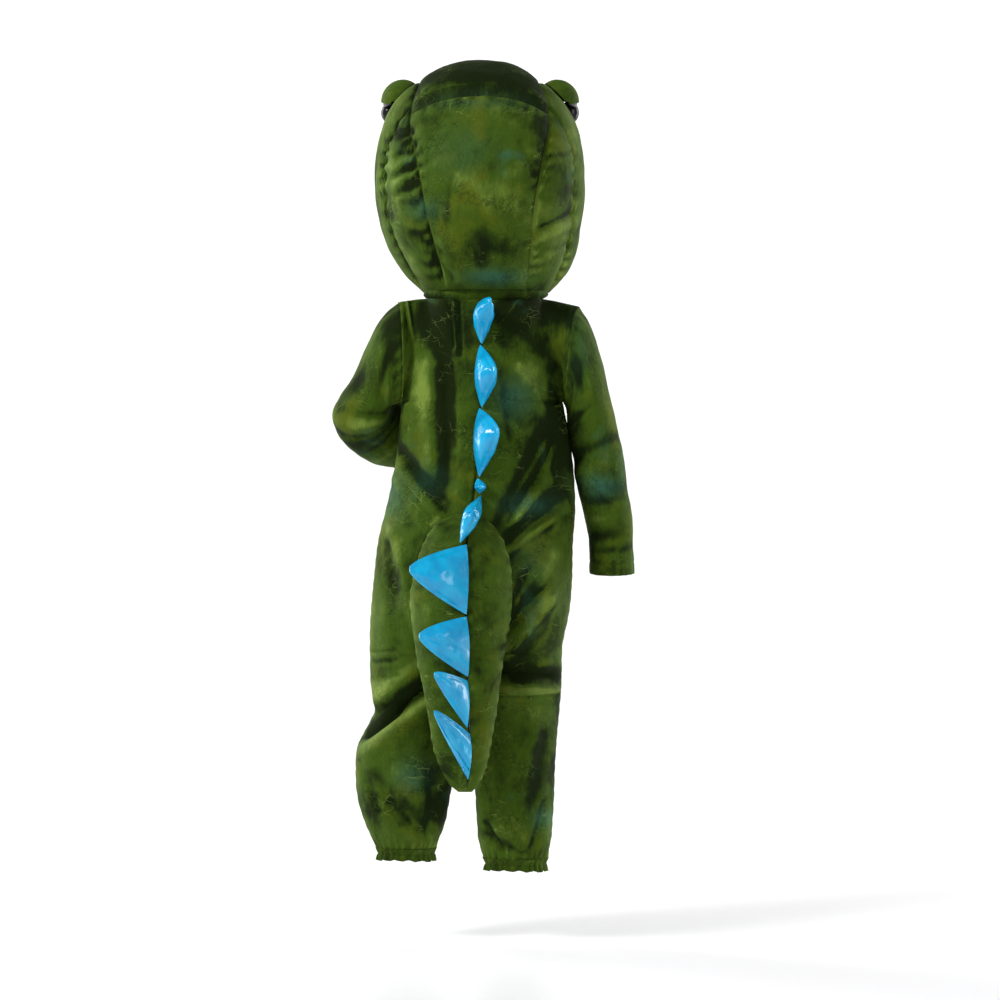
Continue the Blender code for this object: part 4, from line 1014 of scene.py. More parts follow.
def panel(side, face, size):
    """Outer points, normals and relief of one quarter of the suit."""
    u, base, normals = base_panel(side, face)
    fork = YOKE_ROWS + TORSO_ROWS + CROTCH_ROWS
    ankle = LEGS[side][-1].depth
    x, z = base[..., 0], base[..., 2]
    relief = folds_at(FOLDS, face, x, z) + folds_at(CREASED, face, x, z) * size.crease_share
    rumpled = 1.3 * rumple(base, 46.0, 3.1 * side + face) + 0.5 * rumple(base, 17.0, 9.0)
    relief += size.rumple / MM * (rumpled + 0.16 * rumple(base, 6.5, 4.0))
    relief *= fade((1 - u) / 0.16)
    relief[fork + 1 :] *= fade(u / 0.14)
    relief[: fork + 1] *= 0.35 + 0.65 * fade(u / 0.06)
    relief *= fade((z + ankle) / 12.0)
    across = arcs(base, 1)
    down = arcs(base, 0)
    offset = relief.copy()
    for away, phase in ((across, 0.4 * side), (across[:, -1:] - across, 1.7 + face)):
        offset -= size.seam_dip / MM * np.exp(-((away / 2.2) ** 2))
        offset += 0.6 * seam_ripple(down, phase) * (away / 4.0) * np.exp(1 - away / 4.0) * 0.5
    offset -= size.seam_dip / MM * np.exp(-((down / 2.2) ** 2))
    offset[:YOKE_ROWS] *= fade(down[:YOKE_ROWS] / 4.0 + 0.4)
    row = LEGS[side][-1]
    sideways = (x - (row.inner + row.outer) / 2) / abs(row.outer - row.inner)
    turn = np.arctan2(sideways, base[..., 1] / (row.back + row.front))
    rise = np.maximum(z + ankle, 0)
    swell = 1.3 * gather(turn) * np.exp(-rise / 13.0)
    swell = swell + 1.0 * np.sin(9 * turn + 1.0) * np.exp(-((rise - 26) / 16) ** 2)
    swell *= fade((z + ankle + 2) / 3.0) * 0.85 + 0.15
    points = base + normals * offset[..., None]
    points += np.stack([np.sin(turn), np.cos(turn), np.zeros_like(turn)], -1) * swell[..., None]
    if side > 0:
        points[..., 0] += SIDE_MEETS * np.exp(-(((z + 174) / 44) ** 2)) * fade((u - 0.6) / 0.4)
    return points, normals, relief + swell


def quarters(size):
    return {(side, face): panel(side, face, size) for side in (-1, 1) for face in (-1, 1)}


def sleeve(grids, side, size):
    """Outer points, normals and relief of a set-in sleeve."""
    loop, loop_normals = armhole(grids, side)
    base = sleeve_points(side, loop, SLEEVE_ROWS[side])
    normals = -side * grid_normals(base, True)
    normals[0] = unit(loop_normals + normals[0])
    along = np.linspace(0, 1, len(base))[:, None]
    turn = np.arange(len(loop))[None] / len(loop)
    relief = creases_at(side, along, turn) * fade(along / 0.12)
    relief += size.rumple / MM * (1.1 * rumple(base, 38.0, 5.0 * side) + 0.4 * rumple(base, 15.0, 2.0))
    relief *= fade(along / 0.08)
    down = arcs(base, 0)
    left = down[-1:] - down
    round_it = arcs(np.concatenate([base, base[:, :1]], 1), 1)[:, :-1]
    offset = relief - size.seam_dip / MM * np.exp(-((down / 2.4) ** 2))
    offset += 0.9 * seam_ripple(round_it, 0.6 * side) * (down / 6.0) * np.exp(1 - down / 6.0) * 0.6
    offset -= 0.7 * np.exp(-(((left - 15) / 1.6) ** 2))
    offset += 0.5 * np.cos(14 * 2 * pi * turn + 2 * np.sin(6 * pi * turn)) * np.exp(-left / 14.0)
    under = np.minimum(turn, 1 - turn) * round_it[:, -1:]
    offset -= 0.8 * np.exp(-((under / 2.0) ** 2)) * fade(down / 8.0)
    return base + normals * offset[..., None], normals, relief


def casing(side):
    """Gathered elastic hem of one ankle, as rings of points."""
    row = LEGS[side][-1]
    turn = np.arange(CASING_COLUMNS) * 2 * pi / CASING_COLUMNS
    middle = (row.inner + row.outer) / 2
    half = abs(row.outer - row.inner) / 2
    deep = np.where(np.cos(turn) < 0, row.back, row.front)
    rings = []
    for share in np.linspace(0, 1, CASING_ROWS + 1):
        widths = (1.0, 0.965, CASING_NIP, 0.95, CASING_FLARE - 0.05)
        scale = np.interp(share, (0.0, 0.2, 0.45, 0.6, 1.0), widths)
        swell = gather(turn) * np.interp(share, (0.0, 0.45, 1.0), (1.3, 1.0, 1.3))
        swell = swell + 0.8 * np.sin(11 * turn + 2.0) * share - 0.6 * np.exp(-(((share - 0.45) / 0.08) ** 2))
        z = -row.depth - SEAT - share * CASING_HEIGHT
        z += share * 1.4 * np.sin(2 * turn + 1.0) + share * 0.8 * np.sin(13 * turn)
        x = middle + (half * scale + swell) * np.sin(turn)
        y = BODY_Y + row.shift * share + (deep * scale + swell) * np.cos(turn)
        rings.append(np.stack([x, y, z], -1))
    return np.array(rings)


def neck_band(grids):
    """Short band between the suit's neckline and the head, as rings of points."""
    last = PANEL_COLUMNS // 2
    quarter = [grids[side, face][0][0, : last + 1] for side, face in ((1, 1), (1, -1), (-1, -1), (-1, 1))]
    low = np.concatenate([quarter[0], quarter[1][-2::-1], quarter[2][1:], quarter[3][-2:0:-1]])
    centre = curve(0.0, TORSO, "depth", "centre")
    depth = np.where(low[:, 1] > 0, NECK_DEPTH[1], NECK_DEPTH[-1])
    turn = np.arctan2((low[:, 0] - centre) / NECK_HALF, low[:, 1] / depth)
    deep = np.where(np.cos(turn) > 0, *NECK_TOP_DEPTH)
    height = NECK_LINE - SEAT + NECK_TUCK * np.maximum(0.0, -np.cos(turn))
    top = np.stack([NECK_TOP_HALF * np.sin(turn), HEAD_Y + deep * np.cos(turn), height], -1)
    top[:, 0] += lean(height)
    low = low + np.array([0, 0, SEAT])
    away = unit((low + top) * np.array([1, 1, 0]) / 2 - np.array([3.0, 6.0, 0.0]))
    rings = []
    for share in np.linspace(0, 1, BAND_ROWS + 1):
        wave = 0.5 * np.sin(17 * turn + 3 * np.sin(2 * turn))
        bulge = 3.2 * np.sin(pi * share) + wave * np.sin(pi * share)
        rings.append(low * (1 - share) + top * share + away * bulge[:, None])
    return np.array(rings), away


def underlap(grids):
    """Strip under the back opening, made from the panels' own points."""
    u = close_spacing(PANEL_COLUMNS)
    rows = slice(5, int(YOKE_ROWS + TORSO_ROWS * 0.5))
    strips = []
    for side, columns in ((1, np.flatnonzero(u <= 0.1)[:0:-1]), (-1, np.flatnonzero(u <= 0.3))):
        outer, normals = grids[side, -1][:2]
        inside = outer - normals * UNDERLAP_DEPTH
        strips += [(inside[rows, column], normals[rows, column]) for column in columns]
    return np.stack([strip[0] for strip in strips], 1), np.stack([strip[1] for strip in strips], 1)


def edge_lines(grid, edges):
    lines = {"start": grid[:, 0], "end": grid[:, -1], "low": grid[0], "top": grid[-1]}
    return {edge: lines[edge] for edge in edges}


def padded(label, grid, edges, size):
    """Outer points, normals and relief of one padded piece of the head."""
    normals = head_normals(grid)
    nearest = np.full(grid.shape[:2], 1e9)
    gathers = np.zeros(grid.shape[:2])
    for edge, line in edge_lines(grid, edges).items():
        away = np.linalg.norm(grid[:, :, None] - line[None, None], axis=-1)
        place = away.argmin(-1)
        away = away.min(-1)
        run = arcs(line[None], 1)[0]
        depth = np.full(len(line), 0.12)
        for pucker in PUCKERS:
            if pucker.piece == label and pucker.edge == edge:
                depth += pucker.depth * np.exp(-(((run / run[-1] - pucker.along) / pucker.spread) ** 2))
        ripple = np.cos(run / 3.1 + 2.1 * np.sin(run / 21.0 + len(label)) + len(edge))
        gathers += (ripple * depth)[place] * (away / 5.0) * np.exp(1 - away / 5.0) * size.pucker_share
        nearest = np.minimum(nearest, away)
    puff = PINCH + PUFF * (1 - np.exp(-nearest / PUFF_RUN)) - 1.6 * np.exp(-((nearest / 2.4) ** 2))
    relief = gathers * fade(nearest / 2.0 + 0.15)
    for face in (-1, 1):
        seen = fade((face * (grid[..., 1] - HEAD_Y) + 20) / 40)
        relief += folds_at(HOOD_FOLDS, face, grid[..., 0], grid[..., 2]) * seen
    relief += size.rumple / MM * (1.6 * rumple(grid, 42.0, len(label) * 1.7) + 0.6 * rumple(grid, 16.0, 4.0))
    relief *= fade(nearest / 7.0 + 0.25)
    near_neck = fade((grid[..., 2] - NECK_LINE) / NECK_RUN)
    points = grid + normals * ((puff + relief) * near_neck)[..., None]
    for rim, inner in ((0, 1), (-1, -2)):
        across = points[:, rim] - points[:, inner]
        points[:, rim] += across / np.linalg.norm(across, axis=-1, keepdims=True) * SEAM_REACH
    points[..., 0] += lean(points[..., 2])
    return points, normals, relief


def head_grids():
    """The six pieces of the padded head before they are puffed, each with the seams it has."""
    share = close_spacing(HOOD_COLUMNS) * 2 - 1
    steps = close_spacing(HOOD_ROWS)
    back = np.array([back_strip(t, share) for t in steps])
    crown_steps = np.concatenate([[0.0], GORE_TOP + (1 - GORE_TOP) * steps])
    crown = np.array([crown_strip(t, share) for t in crown_steps])
    pieces = {"back": (back, ("start", "end", "top")), "crown": (crown, ("start", "end", "low"))}
    for side, end in ((-1, "left"), (1, "right")):
        edge = back[:, 0 if side < 0 else -1, 1:]
        over = crown[:, 0 if side < 0 else -1, 1:]
        seam = bent_edge(list(GORE_SEAM) + [tuple(over[1])], steps)
        face_edge = bent_edge(list(FACE_EDGE) + [tuple(over[-1])], steps)
        low = edge[0] + (seam[0] - edge[0]) * close_spacing(GORE_COLUMNS)[:, None]
        top = over[0] + (over[1] - over[0]) * close_spacing(GORE_COLUMNS)[:, None]
        pieces["gore_" + end] = (patch(side, low, top, edge, seam), ("start", "end", "top"))
        low = seam[0] + (face_edge[0] - seam[0]) * steps[:, None]
        pieces["cheek_" + end] = (patch(side, low, over[1:], seam, face_edge), ("start", "top"))
    return pieces


def search_tree(grids):
    """Search tree over the outer faces of several grids."""
    points = []
    faces = []
    for grid in grids:
        rows, columns = grid.shape[:2]
        corner = np.arange(rows - 1)[:, None] * columns + np.arange(columns - 1)[None]
        corner = corner.ravel() + len(points)
        faces += np.stack([corner, corner + 1, corner + columns + 1, corner + columns], 1).tolist()
        points += grid.reshape(-1, 3).tolist()
    return BVHTree.FromPolygons(points, faces)


def eye_rings(tree, side):
    """Domed eye, as rings of points from its foot to its top."""
    centre, normal, front, across = dome_frame(side, LID_Y, LID_Z)
    centre = centre + front * EYE_SHIFT
    turn = np.arange(EYE_STEPS) * 2 * pi / EYE_STEPS
    rings = []
    for level in np.linspace(0, 1, EYE_LEVELS + 1)[:-1]:
        rise = level * pi / 2
        ring = []
        for angle in turn:
            flat = (front * cos(angle) + across * sin(angle)) * EYE_RADIUS * cos(rise)
            base = seat_on(tree, centre + flat, normal, EYE_SEAT)
            ring.append(base + normal * (EYE_RISE * sin(rise) + min(1.0, level * 6)))
        rings.append(ring)
    return np.array(rings)


def lid_grid(tree, side, radius, reach=LID_SWEEP):
    """Half dome drawn over the eye from behind, open towards the front."""
    centre, normal, front, across = dome_frame(side, LID_Y, LID_Z)
    rows = []
    for sweep in np.linspace(0.0, reach, LID_ROWS + 1):
        rise = -front * cos(sweep) + normal * sin(sweep) * LID_RISE
        row = []
        for turn in np.linspace(0.14, pi - 0.14, LID_STEPS + 1):
            point = centre + radius * (across * cos(turn) + rise * sin(turn))
            height = radius * sin(turn) * sin(sweep) * LID_RISE
            base = seat_on(tree, point, normal, LID_SEAT)
            lower = 1 - fade(max(0.0, height) / (0.6 * radius))
            lift = base - (point - normal * ((point - centre) @ normal))
            row.append(point + lower * lift)
        rows.append(row)
    return np.array(rows), centre


def tail_half(tree, side, size):
    """Rings of the stuffed half of the tail on one side of its ridge."""
    knots = np.arange(len(TAIL), dtype=float)
    at = np.linspace(0, len(TAIL) - 1, TAIL_ROWS + 1)
    table = smooth(at, knots, np.array(TAIL, float))
    rings = []
    for values in table:
        row = TailRow(*values)
        ridge = row.ridge + side * RIDGE_MEETS
        span = (row.left if side < 0 else row.right) - ridge
        angles = pi / 2 * np.linspace(0, 1, TAIL_STEPS + 1)
        xs = ridge + span * np.sin(angles)
        bases = np.array([tail_base(tree, x, row) for x in xs])
        back = bases - row.back * np.cos(angles) ** 0.9
        front = bases + row.front * np.cos(angles)
        over = np.stack([xs, back, np.full_like(xs, row.z)], -1)
        under = np.stack([xs, front, np.full_like(xs, row.z)], -1)[TAIL_STEPS - 1 :: -1]
        rings.append(np.concatenate([over, under]))
    rings = np.array(rings)
    away_from_middle = unit(rings - rings.mean(1, keepdims=True) + np.array([side * 1.0, 0, 0]))
    outward = grid_normals(rings, True)
    outward *= np.sign(np.sum(outward * away_from_middle))
    shell = rings[:, : TAIL_STEPS + 1]
    normals = outward[:, : TAIL_STEPS + 1]
    away = arcs(shell, 1)
    to_edge = away[:, -1:] - away
    down = arcs(shell, 0)
    relief = size.rumple / MM * (1.5 * rumple(shell, 34.0, 8.0 * side) + 0.5 * rumple(shell, 13.0, 1.0))
    for distance, phase, depth in ((away, 0.3, 0.5), (to_edge, 1.9, 0.9)):
        relief += depth * seam_ripple(down, phase * side) * (distance / 5.0) * np.exp(1 - distance / 5.0)
    relief *= fade(away / 6.0) * fade(to_edge / 4.0)
    relief -= 1.0 * np.exp(-((away / 2.0) ** 2))
    relief *= fade((down[-1:] - down) / 22.0)
    rings[:, : TAIL_STEPS + 1] += normals * relief[..., None]
    whole = np.concatenate([relief, relief[:, TAIL_STEPS - 1 :: -1] * 0], 1)
    return rings, outward, whole


def spike_rings(tree, row):
    """Rings of a stuffed leaf-shaped spike from its long foot to its tip."""
    heights = (row.top_z, row.low_z)
    ends = zip((row.top_x, row.low_x), heights)
    base_y = np.mean([back_at(tree, x, z, SPIKE_GROUND, RIDGE_SPREAD) for x, z in ends])
    tip = np.array([row.tip_x, base_y - row.out, row.tip_z])
    middle = np.array([(row.top_x + row.low_x) / 2, base_y, np.mean(heights)])
    run = unit(np.array([row.low_x - row.top_x, 0.0, row.low_z - row.top_z]))
    side = unit(np.cross(run, unit(tip - middle)))
    length = np.hypot(row.low_x - row.top_x, row.low_z - row.top_z)
    reach = np.linalg.norm(tip - middle)
    count = 2 * SPIKE_STEPS
    seat_y = back_at(tree, middle[0], middle[2], base_y, SPREAD) - SPIKE_SEAT
    centre = np.array([middle[0], seat_y, middle[2]])
    feet = []
    for step in range(count):
        t = 1 - abs(1 - step / SPIKE_STEPS)
        along = (1 - cos(pi * t)) / 2
        x = row.top_x + (row.low_x - row.top_x) * along
        z = row.top_z + (row.low_z - row.top_z) * along
        foot = np.array([x, back_at(tree, x, z, base_y, SPREAD) - SPIKE_SEAT, z])
        feet.append((along, -1 if step > SPIKE_STEPS else 1, foot))
    rings = []
    for level in range(SPIKE_LEVELS + 1):
        share = (1 - (1 - level / SPIKE_LEVELS) ** 1.3) * 0.975
        ring = []
        for along, flank, foot in feet:
            puff = sin(pi * along) ** 0.7 * (1 - share) ** 0.55
            half = SPIKE_BASE / 2 + (row.thick / 2 - SPIKE_BASE / 2) * sin(pi * (0.12 + 0.88 * share)) ** 0.8
            inside = min(along, 1 - along) * length * (1 - share)
            thick = half * puff - 1.5 * np.exp(-(((inside - 3.2) / 1.1) ** 2)) * min(1.0, share * 5)
            thick += 0.5 * sin(0.9 * reach * share + 5 * along) * puff
            thick += 0.8 * sin(0.33 * reach * share + 9 * along * flank) * puff * sin(pi * share)
            thick = max(thick, 0.75 * sin(pi * along) ** 0.15)
            width = (1 - share) ** SPIKE_LEAF
            point = centre + (foot - centre) * width + (tip - centre) * share + side * flank * thick
            point = point + np.array([0, -row.bow, 0]) * sin(pi * share) * sin(pi * along)
            gap = SPIKE_SEAT if level == 0 else SPIKE_CLEAR
            ring.append(clear_of(tree, point, gap if side[1] * flank > 0 else gap + 1.2))
        rings.append(ring)
    flat = settle(tree, [point for ring in rings for point in ring], count, SPIKE_SEAT)
    rings = np.array(flat).reshape(SPIKE_LEVELS + 1, count, 3)
    outward = unit(rings - rings.mean(1, keepdims=True))
    return rings, outward


# Shader node groups and finishes


def new_group(name, inputs, outputs):
    tree = bpy.data.node_groups.new(name, "ShaderNodeTree")
    for label, kind, value in inputs:
        socket = tree.interface.new_socket(name=label, in_out="INPUT", socket_type="NodeSocket" + kind)
        if value is not None:
            socket.default_value = value
    for label, kind in outputs:
        tree.interface.new_socket(name=label, in_out="OUTPUT", socket_type="NodeSocket" + kind)
    return tree, tree.nodes.new("NodeGroupInput"), tree.nodes.new("NodeGroupOutput")


def node(tree, kind, **settings):
    made = tree.nodes.new("ShaderNode" + kind)
    for name, value in settings.items():
        setattr(made, name, value)
    return made


def feed(tree, socket, value):
    """Link a socket or set a plain value on it."""
    if isinstance(value, bpy.types.NodeSocket):
        tree.links.new(value, socket)
    else:
        socket.default_value = value


def maths(tree, operation, *values):
    made = node(tree, "Math", operation=operation)
    for socket, value in zip(made.inputs, values):
        feed(tree, socket, value)
    return made.outputs[0]


def blend_colours(tree, share, first, second, mode="MIX"):
    made = node(tree, "Mix", data_type="RGBA", blend_type=mode)
    for label, value in ((0, share), (6, first), (7, second)):
        feed(tree, made.inputs[label], value)
    return made.outputs[2]


def band(tree, value, low, high, kind="SMOOTHSTEP"):
    made = node(tree, "MapRange", interpolation_type=kind)
    feed(tree, made.inputs["Value"], value)
    made.inputs["From Min"].default_value = low
    made.inputs["From Max"].default_value = high
    return made.outputs["Result"]


def grain(tree, vector, scale, detail=2.0, roughness=0.5, distortion=0.0):
    made = node(tree, "TexNoise")
    feed(tree, made.inputs["Vector"], vector)
    made.inputs["Scale"].default_value = scale
    made.inputs["Detail"].default_value = detail
    made.inputs["Roughness"].default_value = roughness
    made.inputs["Distortion"].default_value = distortion
    return made.outputs["Fac"]


def stretch(tree, vector, scale, location=(0, 0, 0), turn=0.0):
    made = node(tree, "Mapping")
    feed(tree, made.inputs["Vector"], vector)
    made.inputs["Scale"].default_value = scale
    made.inputs["Location"].default_value = location
    made.inputs["Rotation"].default_value = (0, 0, turn)
    return made.outputs["Vector"]


def print_group():
    """Clouded print: dark ground, olive, mid green and blue green patches run together, with painted light
    and shade added through its Light input.
    """
    inputs = [("Flat", "Vector", None), ("Light", "Float", 0.0), ("Teal", "Float", 0.0)]
    labels = ("Hollow", "Ground", "Bright", "Olive", "Blue Green")
    inputs += [(label, "Color", (0, 0, 0, 1)) for label in labels]
    tree, start, end = new_group("Clouded print", inputs, [("Color", "Color"), ("Cloud", "Float")])
    flat = start.outputs["Flat"]
    broad = grain(tree, flat, 11.0, 3.0, 0.55, 0.5)
    mid = grain(tree, stretch(tree, flat, (1.0, 0.6, 1.0)), 34.0, 4.0, 0.62, 0.8)
    fine = grain(tree, stretch(tree, flat, (1.6, 0.55, 1.0)), 120.0, 3.0, 0.6)
    cloud = maths(tree, "ADD", maths(tree, "MULTIPLY", broad, 0.55), maths(tree, "MULTIPLY", mid, 0.33))
    cloud = maths(tree, "ADD", cloud, maths(tree, "MULTIPLY", fine, 0.12))
    # Painted light and shade: the Light input raises or lowers the cloud, so the colour runs towards Bright
    # or Hollow
    cloud = maths(tree, "ADD", cloud, maths(tree, "MULTIPLY", start.outputs["Light"], 0.23))
    lifted = band(tree, cloud, 0.31, 0.54)
    colour = blend_colours(tree, lifted, start.outputs["Hollow"], start.outputs["Ground"])
    colour = blend_colours(tree, band(tree, cloud, 0.55, 0.81), colour, start.outputs["Bright"])
    olive = grain(tree, stretch(tree, flat, (1.0, 1.0, 1.0), (3.7, 1.1, 0)), 17.0, 3.0, 0.6, 0.6)
    olive = maths(tree, "MULTIPLY", band(tree, olive, 0.52, 0.68), band(tree, cloud, 0.34, 0.55))
    colour = blend_colours(tree, maths(tree, "MULTIPLY", olive, 0.65), colour, start.outputs["Olive"])
    blue = grain(tree, stretch(tree, flat, (1.0, 1.0, 1.0), (7.9, 5.3, 0)), 13.0, 3.0, 0.6, 0.4)
    blue = maths(tree, "MULTIPLY", band(tree, blue, 0.6, 0.74), 0.45)
    blue = maths(tree, "ADD", blue, start.outputs["Teal"])
    smudge = band(tree, mid, 0.3, 0.6)
    blue = maths(tree, "MULTIPLY", blue, maths(tree, "ADD", maths(tree, "MULTIPLY", smudge, 0.6), 0.3))
    blue = maths(tree, "MINIMUM", blue, 1.0)
    tree.links.new(blend_colours(tree, blue, colour, start.outputs["Blue Green"]), end.inputs["Color"])
    tree.links.new(cloud, end.inputs["Cloud"])
    return tree


def crackle_group():
    """Fine scale pattern: broken lines round wide low cells, strong in some places only."""
    inputs = [("Flat", "Vector", None), ("Cells", "Float", 120.0)]
    inputs += [("Line", "Float", 0.06), ("Spread", "Float", 0.5)]
    tree, start, end = new_group("Scale print", inputs, [("Lines", "Float"), ("Height", "Float")])
    vector = stretch(tree, start.outputs["Flat"], (0.62, 1.0, 1.0))
    wobble = grain(tree, vector, 60.0, 2.0)
    shifted = node(tree, "VectorMath", operation="ADD")
    tree.links.new(vector, shifted.inputs[0])
    spread = node(tree, "VectorMath", operation="SCALE")
    tree.links.new(vector, spread.inputs[0])
    tree.links.new(maths(tree, "MULTIPLY", wobble, 0.02), spread.inputs["Scale"])
    tree.links.new(spread.outputs[0], shifted.inputs[1])
    cells = node(tree, "TexVoronoi", feature="DISTANCE_TO_EDGE")
    tree.links.new(shifted.outputs[0], cells.inputs["Vector"])
    tree.links.new(start.outputs["Cells"], cells.inputs["Scale"])
    lines = maths(tree, "DIVIDE", cells.outputs["Distance"], start.outputs["Line"])
    lines = maths(tree, "SUBTRACT", 1.0, lines)
    lines = maths(tree, "MAXIMUM", lines, 0.0)
    where = grain(tree, start.outputs["Flat"], 21.0, 3.0, 0.6)
    where = band(tree, maths(tree, "SUBTRACT", where, start.outputs["Spread"]), -0.04, 0.1)
    lines = maths(tree, "MULTIPLY", lines, where)
    tree.links.new(lines, end.inputs["Lines"])
    tree.links.new(maths(tree, "MULTIPLY", lines, -1.0), end.inputs["Height"])
    return tree


def pile_group():
    """Short pile: fine tufts, lying in streaks."""
    results = [("Height", "Float"), ("Streak", "Float")]
    tree, start, end = new_group("Short pile", [("Flat", "Vector", None)], results)
    tufts = grain(tree, start.outputs["Flat"], 1500.0, 2.0, 0.7)
    lie = grain(tree, stretch(tree, start.outputs["Flat"], (1.0, 0.35, 1.0)), 420.0, 3.0, 0.65)
    tree.links.new(maths(tree, "ADD", maths(tree, "MULTIPLY", tufts, 0.6), lie), end.inputs["Height"])
    tree.links.new(lie, end.inputs["Streak"])
    return tree


def use_group(tree, name, **values):
    made = node(tree, "Group", node_tree=bpy.data.node_groups[name])
    for label, value in values.items():
        feed(tree, made.inputs[label.replace("_", " ")], value)
    return made


def new_finish(name):
    finish = bpy.data.materials.new(name)
    finish.use_nodes = True
    return finish, finish.node_tree, finish.node_tree.nodes["Principled BSDF"]


def velour(name, colours, shift):
    """Printed velour: the print, its scale lines, painted light and shade from the light attribute, and a
    painted sheen that shows pale at a glancing angle.
    """
    finish, tree, shader = new_finish(name)
    places = node(tree, "UVMap", uv_map="flat").outputs["UV"]
    flat = stretch(tree, places, (1, 1, 1), shift)
    # The light attribute carries the painted light and shade laid on each piece
    light = node(tree, "Attribute", attribute_name="light").outputs["Fac"]
    teal = node(tree, "Attribute", attribute_name="teal").outputs["Fac"]
    cloth = use_group(tree, "Clouded print", Flat=flat, Light=light, Teal=teal)
    for label, colour in (
        ("Hollow", colours.hollow),
        ("Ground", colours.ground),
        ("Bright", colours.bright),
        ("Olive", colours.olive),
        ("Blue Green", colours.blue_green),
    ):
        cloth.inputs[label].default_value = (*colour, 1.0)
    small = use_group(tree, "Scale print", Flat=flat, Cells=210.0, Line=0.12, Spread=0.51)
    large_flat = stretch(tree, flat, (1, 1, 1), (2.3, 0.7, 0), 0.4)
    large = use_group(tree, "Scale print", Flat=large_flat, Cells=74.0, Line=0.026, Spread=0.57)
    pile = use_group(tree, "Short pile", Flat=flat)
    dark_lines = maths(tree, "MULTIPLY", small.outputs["Lines"], 0.55)
    colour = blend_colours(tree, dark_lines, cloth.outputs["Color"], (*colours.hollow, 1.0))
    pale_lines = maths(tree, "MULTIPLY", large.outputs["Lines"], 0.55)
    colour = blend_colours(tree, pale_lines, colour, (*colours.line, 1.0))
    streak = maths(tree, "MULTIPLY", band(tree, pile.outputs["Streak"], 0.3, 0.7), 0.35)
    colour = blend_colours(tree, streak, colour, (*colours.bright, 1.0), "SOFT_LIGHT")
    # Painted sheen: the colour runs towards the sheen colour where the cloth is seen at a glancing angle
    glance = node(tree, "LayerWeight")
    glance.inputs["Blend"].default_value = 0.2
    nap = maths(tree, "MULTIPLY", glance.outputs["Facing"], band(tree, cloth.outputs["Cloud"], 0.34, 0.8))
    colour = blend_colours(tree, maths(tree, "MULTIPLY", nap, 0.6), colour, (*colours.nap, 1.0))
    tree.links.new(colour, shader.inputs["Base Color"])
    rough = node(tree, "MapRange")
    feed(tree, rough.inputs["Value"], cloth.outputs["Cloud"])
    rough.inputs["To Min"].default_value = 0.92
    rough.inputs["To Max"].default_value = 0.62
    tree.links.new(rough.outputs["Result"], shader.inputs["Roughness"])
    shader.inputs["Specular IOR Level"].default_value = 0.08
    shader.inputs["Sheen Weight"].default_value = 0.05
    shader.inputs["Sheen Roughness"].default_value = 0.35
    shader.inputs["Sheen Tint"].default_value = (*colours.nap, 1.0)
    raised = maths(tree, "MULTIPLY", pile.outputs["Height"], 0.35)
    raised = maths(tree, "ADD", raised, maths(tree, "MULTIPLY", small.outputs["Height"], 0.5))
    raised = maths(tree, "ADD", raised, maths(tree, "MULTIPLY", large.outputs["Height"], 0.6))
    bump = node(tree, "Bump")
    bump.inputs["Strength"].default_value = 0.5
    bump.inputs["Distance"].default_value = 0.0009
    tree.links.new(raised, bump.inputs["Height"])
    tree.links.new(bump.outputs["Normal"], shader.inputs["Normal"])
    return finish


def knit(name, colour):
    """Plain knitted backing of the cloth, seen inside the suit."""
    finish, tree, shader = new_finish(name)
    flat = node(tree, "UVMap", uv_map="flat").outputs["UV"]
    loops = node(tree, "TexWave", wave_type="BANDS", bands_direction="X")
    tree.links.new(stretch(tree, flat, (1.0, 1.0, 1.0)), loops.inputs["Vector"])
    loops.inputs["Scale"].default_value = 260.0
    loops.inputs["Distortion"].default_value = 2.5
    cloud = grain(tree, flat, 60.0, 3.0)
    darker = tuple(c * 0.55 for c in colour) + (1.0,)
    shade = blend_colours(tree, maths(tree, "MULTIPLY", cloud, 0.6), darker, (*colour, 1.0))
    tree.links.new(shade, shader.inputs["Base Color"])
    shader.inputs["Roughness"].default_value = 0.9
    bump = node(tree, "Bump")
    bump.inputs["Strength"].default_value = 0.4
    bump.inputs["Distance"].default_value = 0.0004
    tree.links.new(loops.outputs["Fac"], bump.inputs["Height"])
    tree.links.new(bump.outputs["Normal"], shader.inputs["Normal"])
    return finish


def coated(name, colour, deep):
    """Glossy coated cloth, softly wrinkled."""
    finish, tree, shader = new_finish(name)
    flat = node(tree, "UVMap", uv_map="flat").outputs["UV"]
    soft = grain(tree, flat, 38.0, 3.0, 0.55, 0.6)
    fine = grain(tree, stretch(tree, flat, (1.0, 2.4, 1.0)), 160.0, 3.0, 0.6, 0.8)
    shade = blend_colours(tree, band(tree, soft, 0.3, 0.7), (*deep, 1.0), (*colour, 1.0))
    tree.links.new(shade, shader.inputs["Base Color"])
    rough = node(tree, "MapRange")
    feed(tree, rough.inputs["Value"], fine)
    rough.inputs["To Min"].default_value = 0.12
    rough.inputs["To Max"].default_value = 0.3
    tree.links.new(rough.outputs["Result"], shader.inputs["Roughness"])
    shader.inputs["Coat Weight"].default_value = 0.4
    shader.inputs["Specular IOR Level"].default_value = 0.3
    shader.inputs["Coat Roughness"].default_value = 0.08
    raised = maths(tree, "ADD", maths(tree, "MULTIPLY", soft, 1.0), maths(tree, "MULTIPLY", fine, 0.28))
    bump = node(tree, "Bump")
    bump.inputs["Strength"].default_value = 0.55
    bump.inputs["Distance"].default_value = 0.0022
    tree.links.new(raised, bump.inputs["Height"])
    tree.links.new(bump.outputs["Normal"], shader.inputs["Normal"])
    return finish


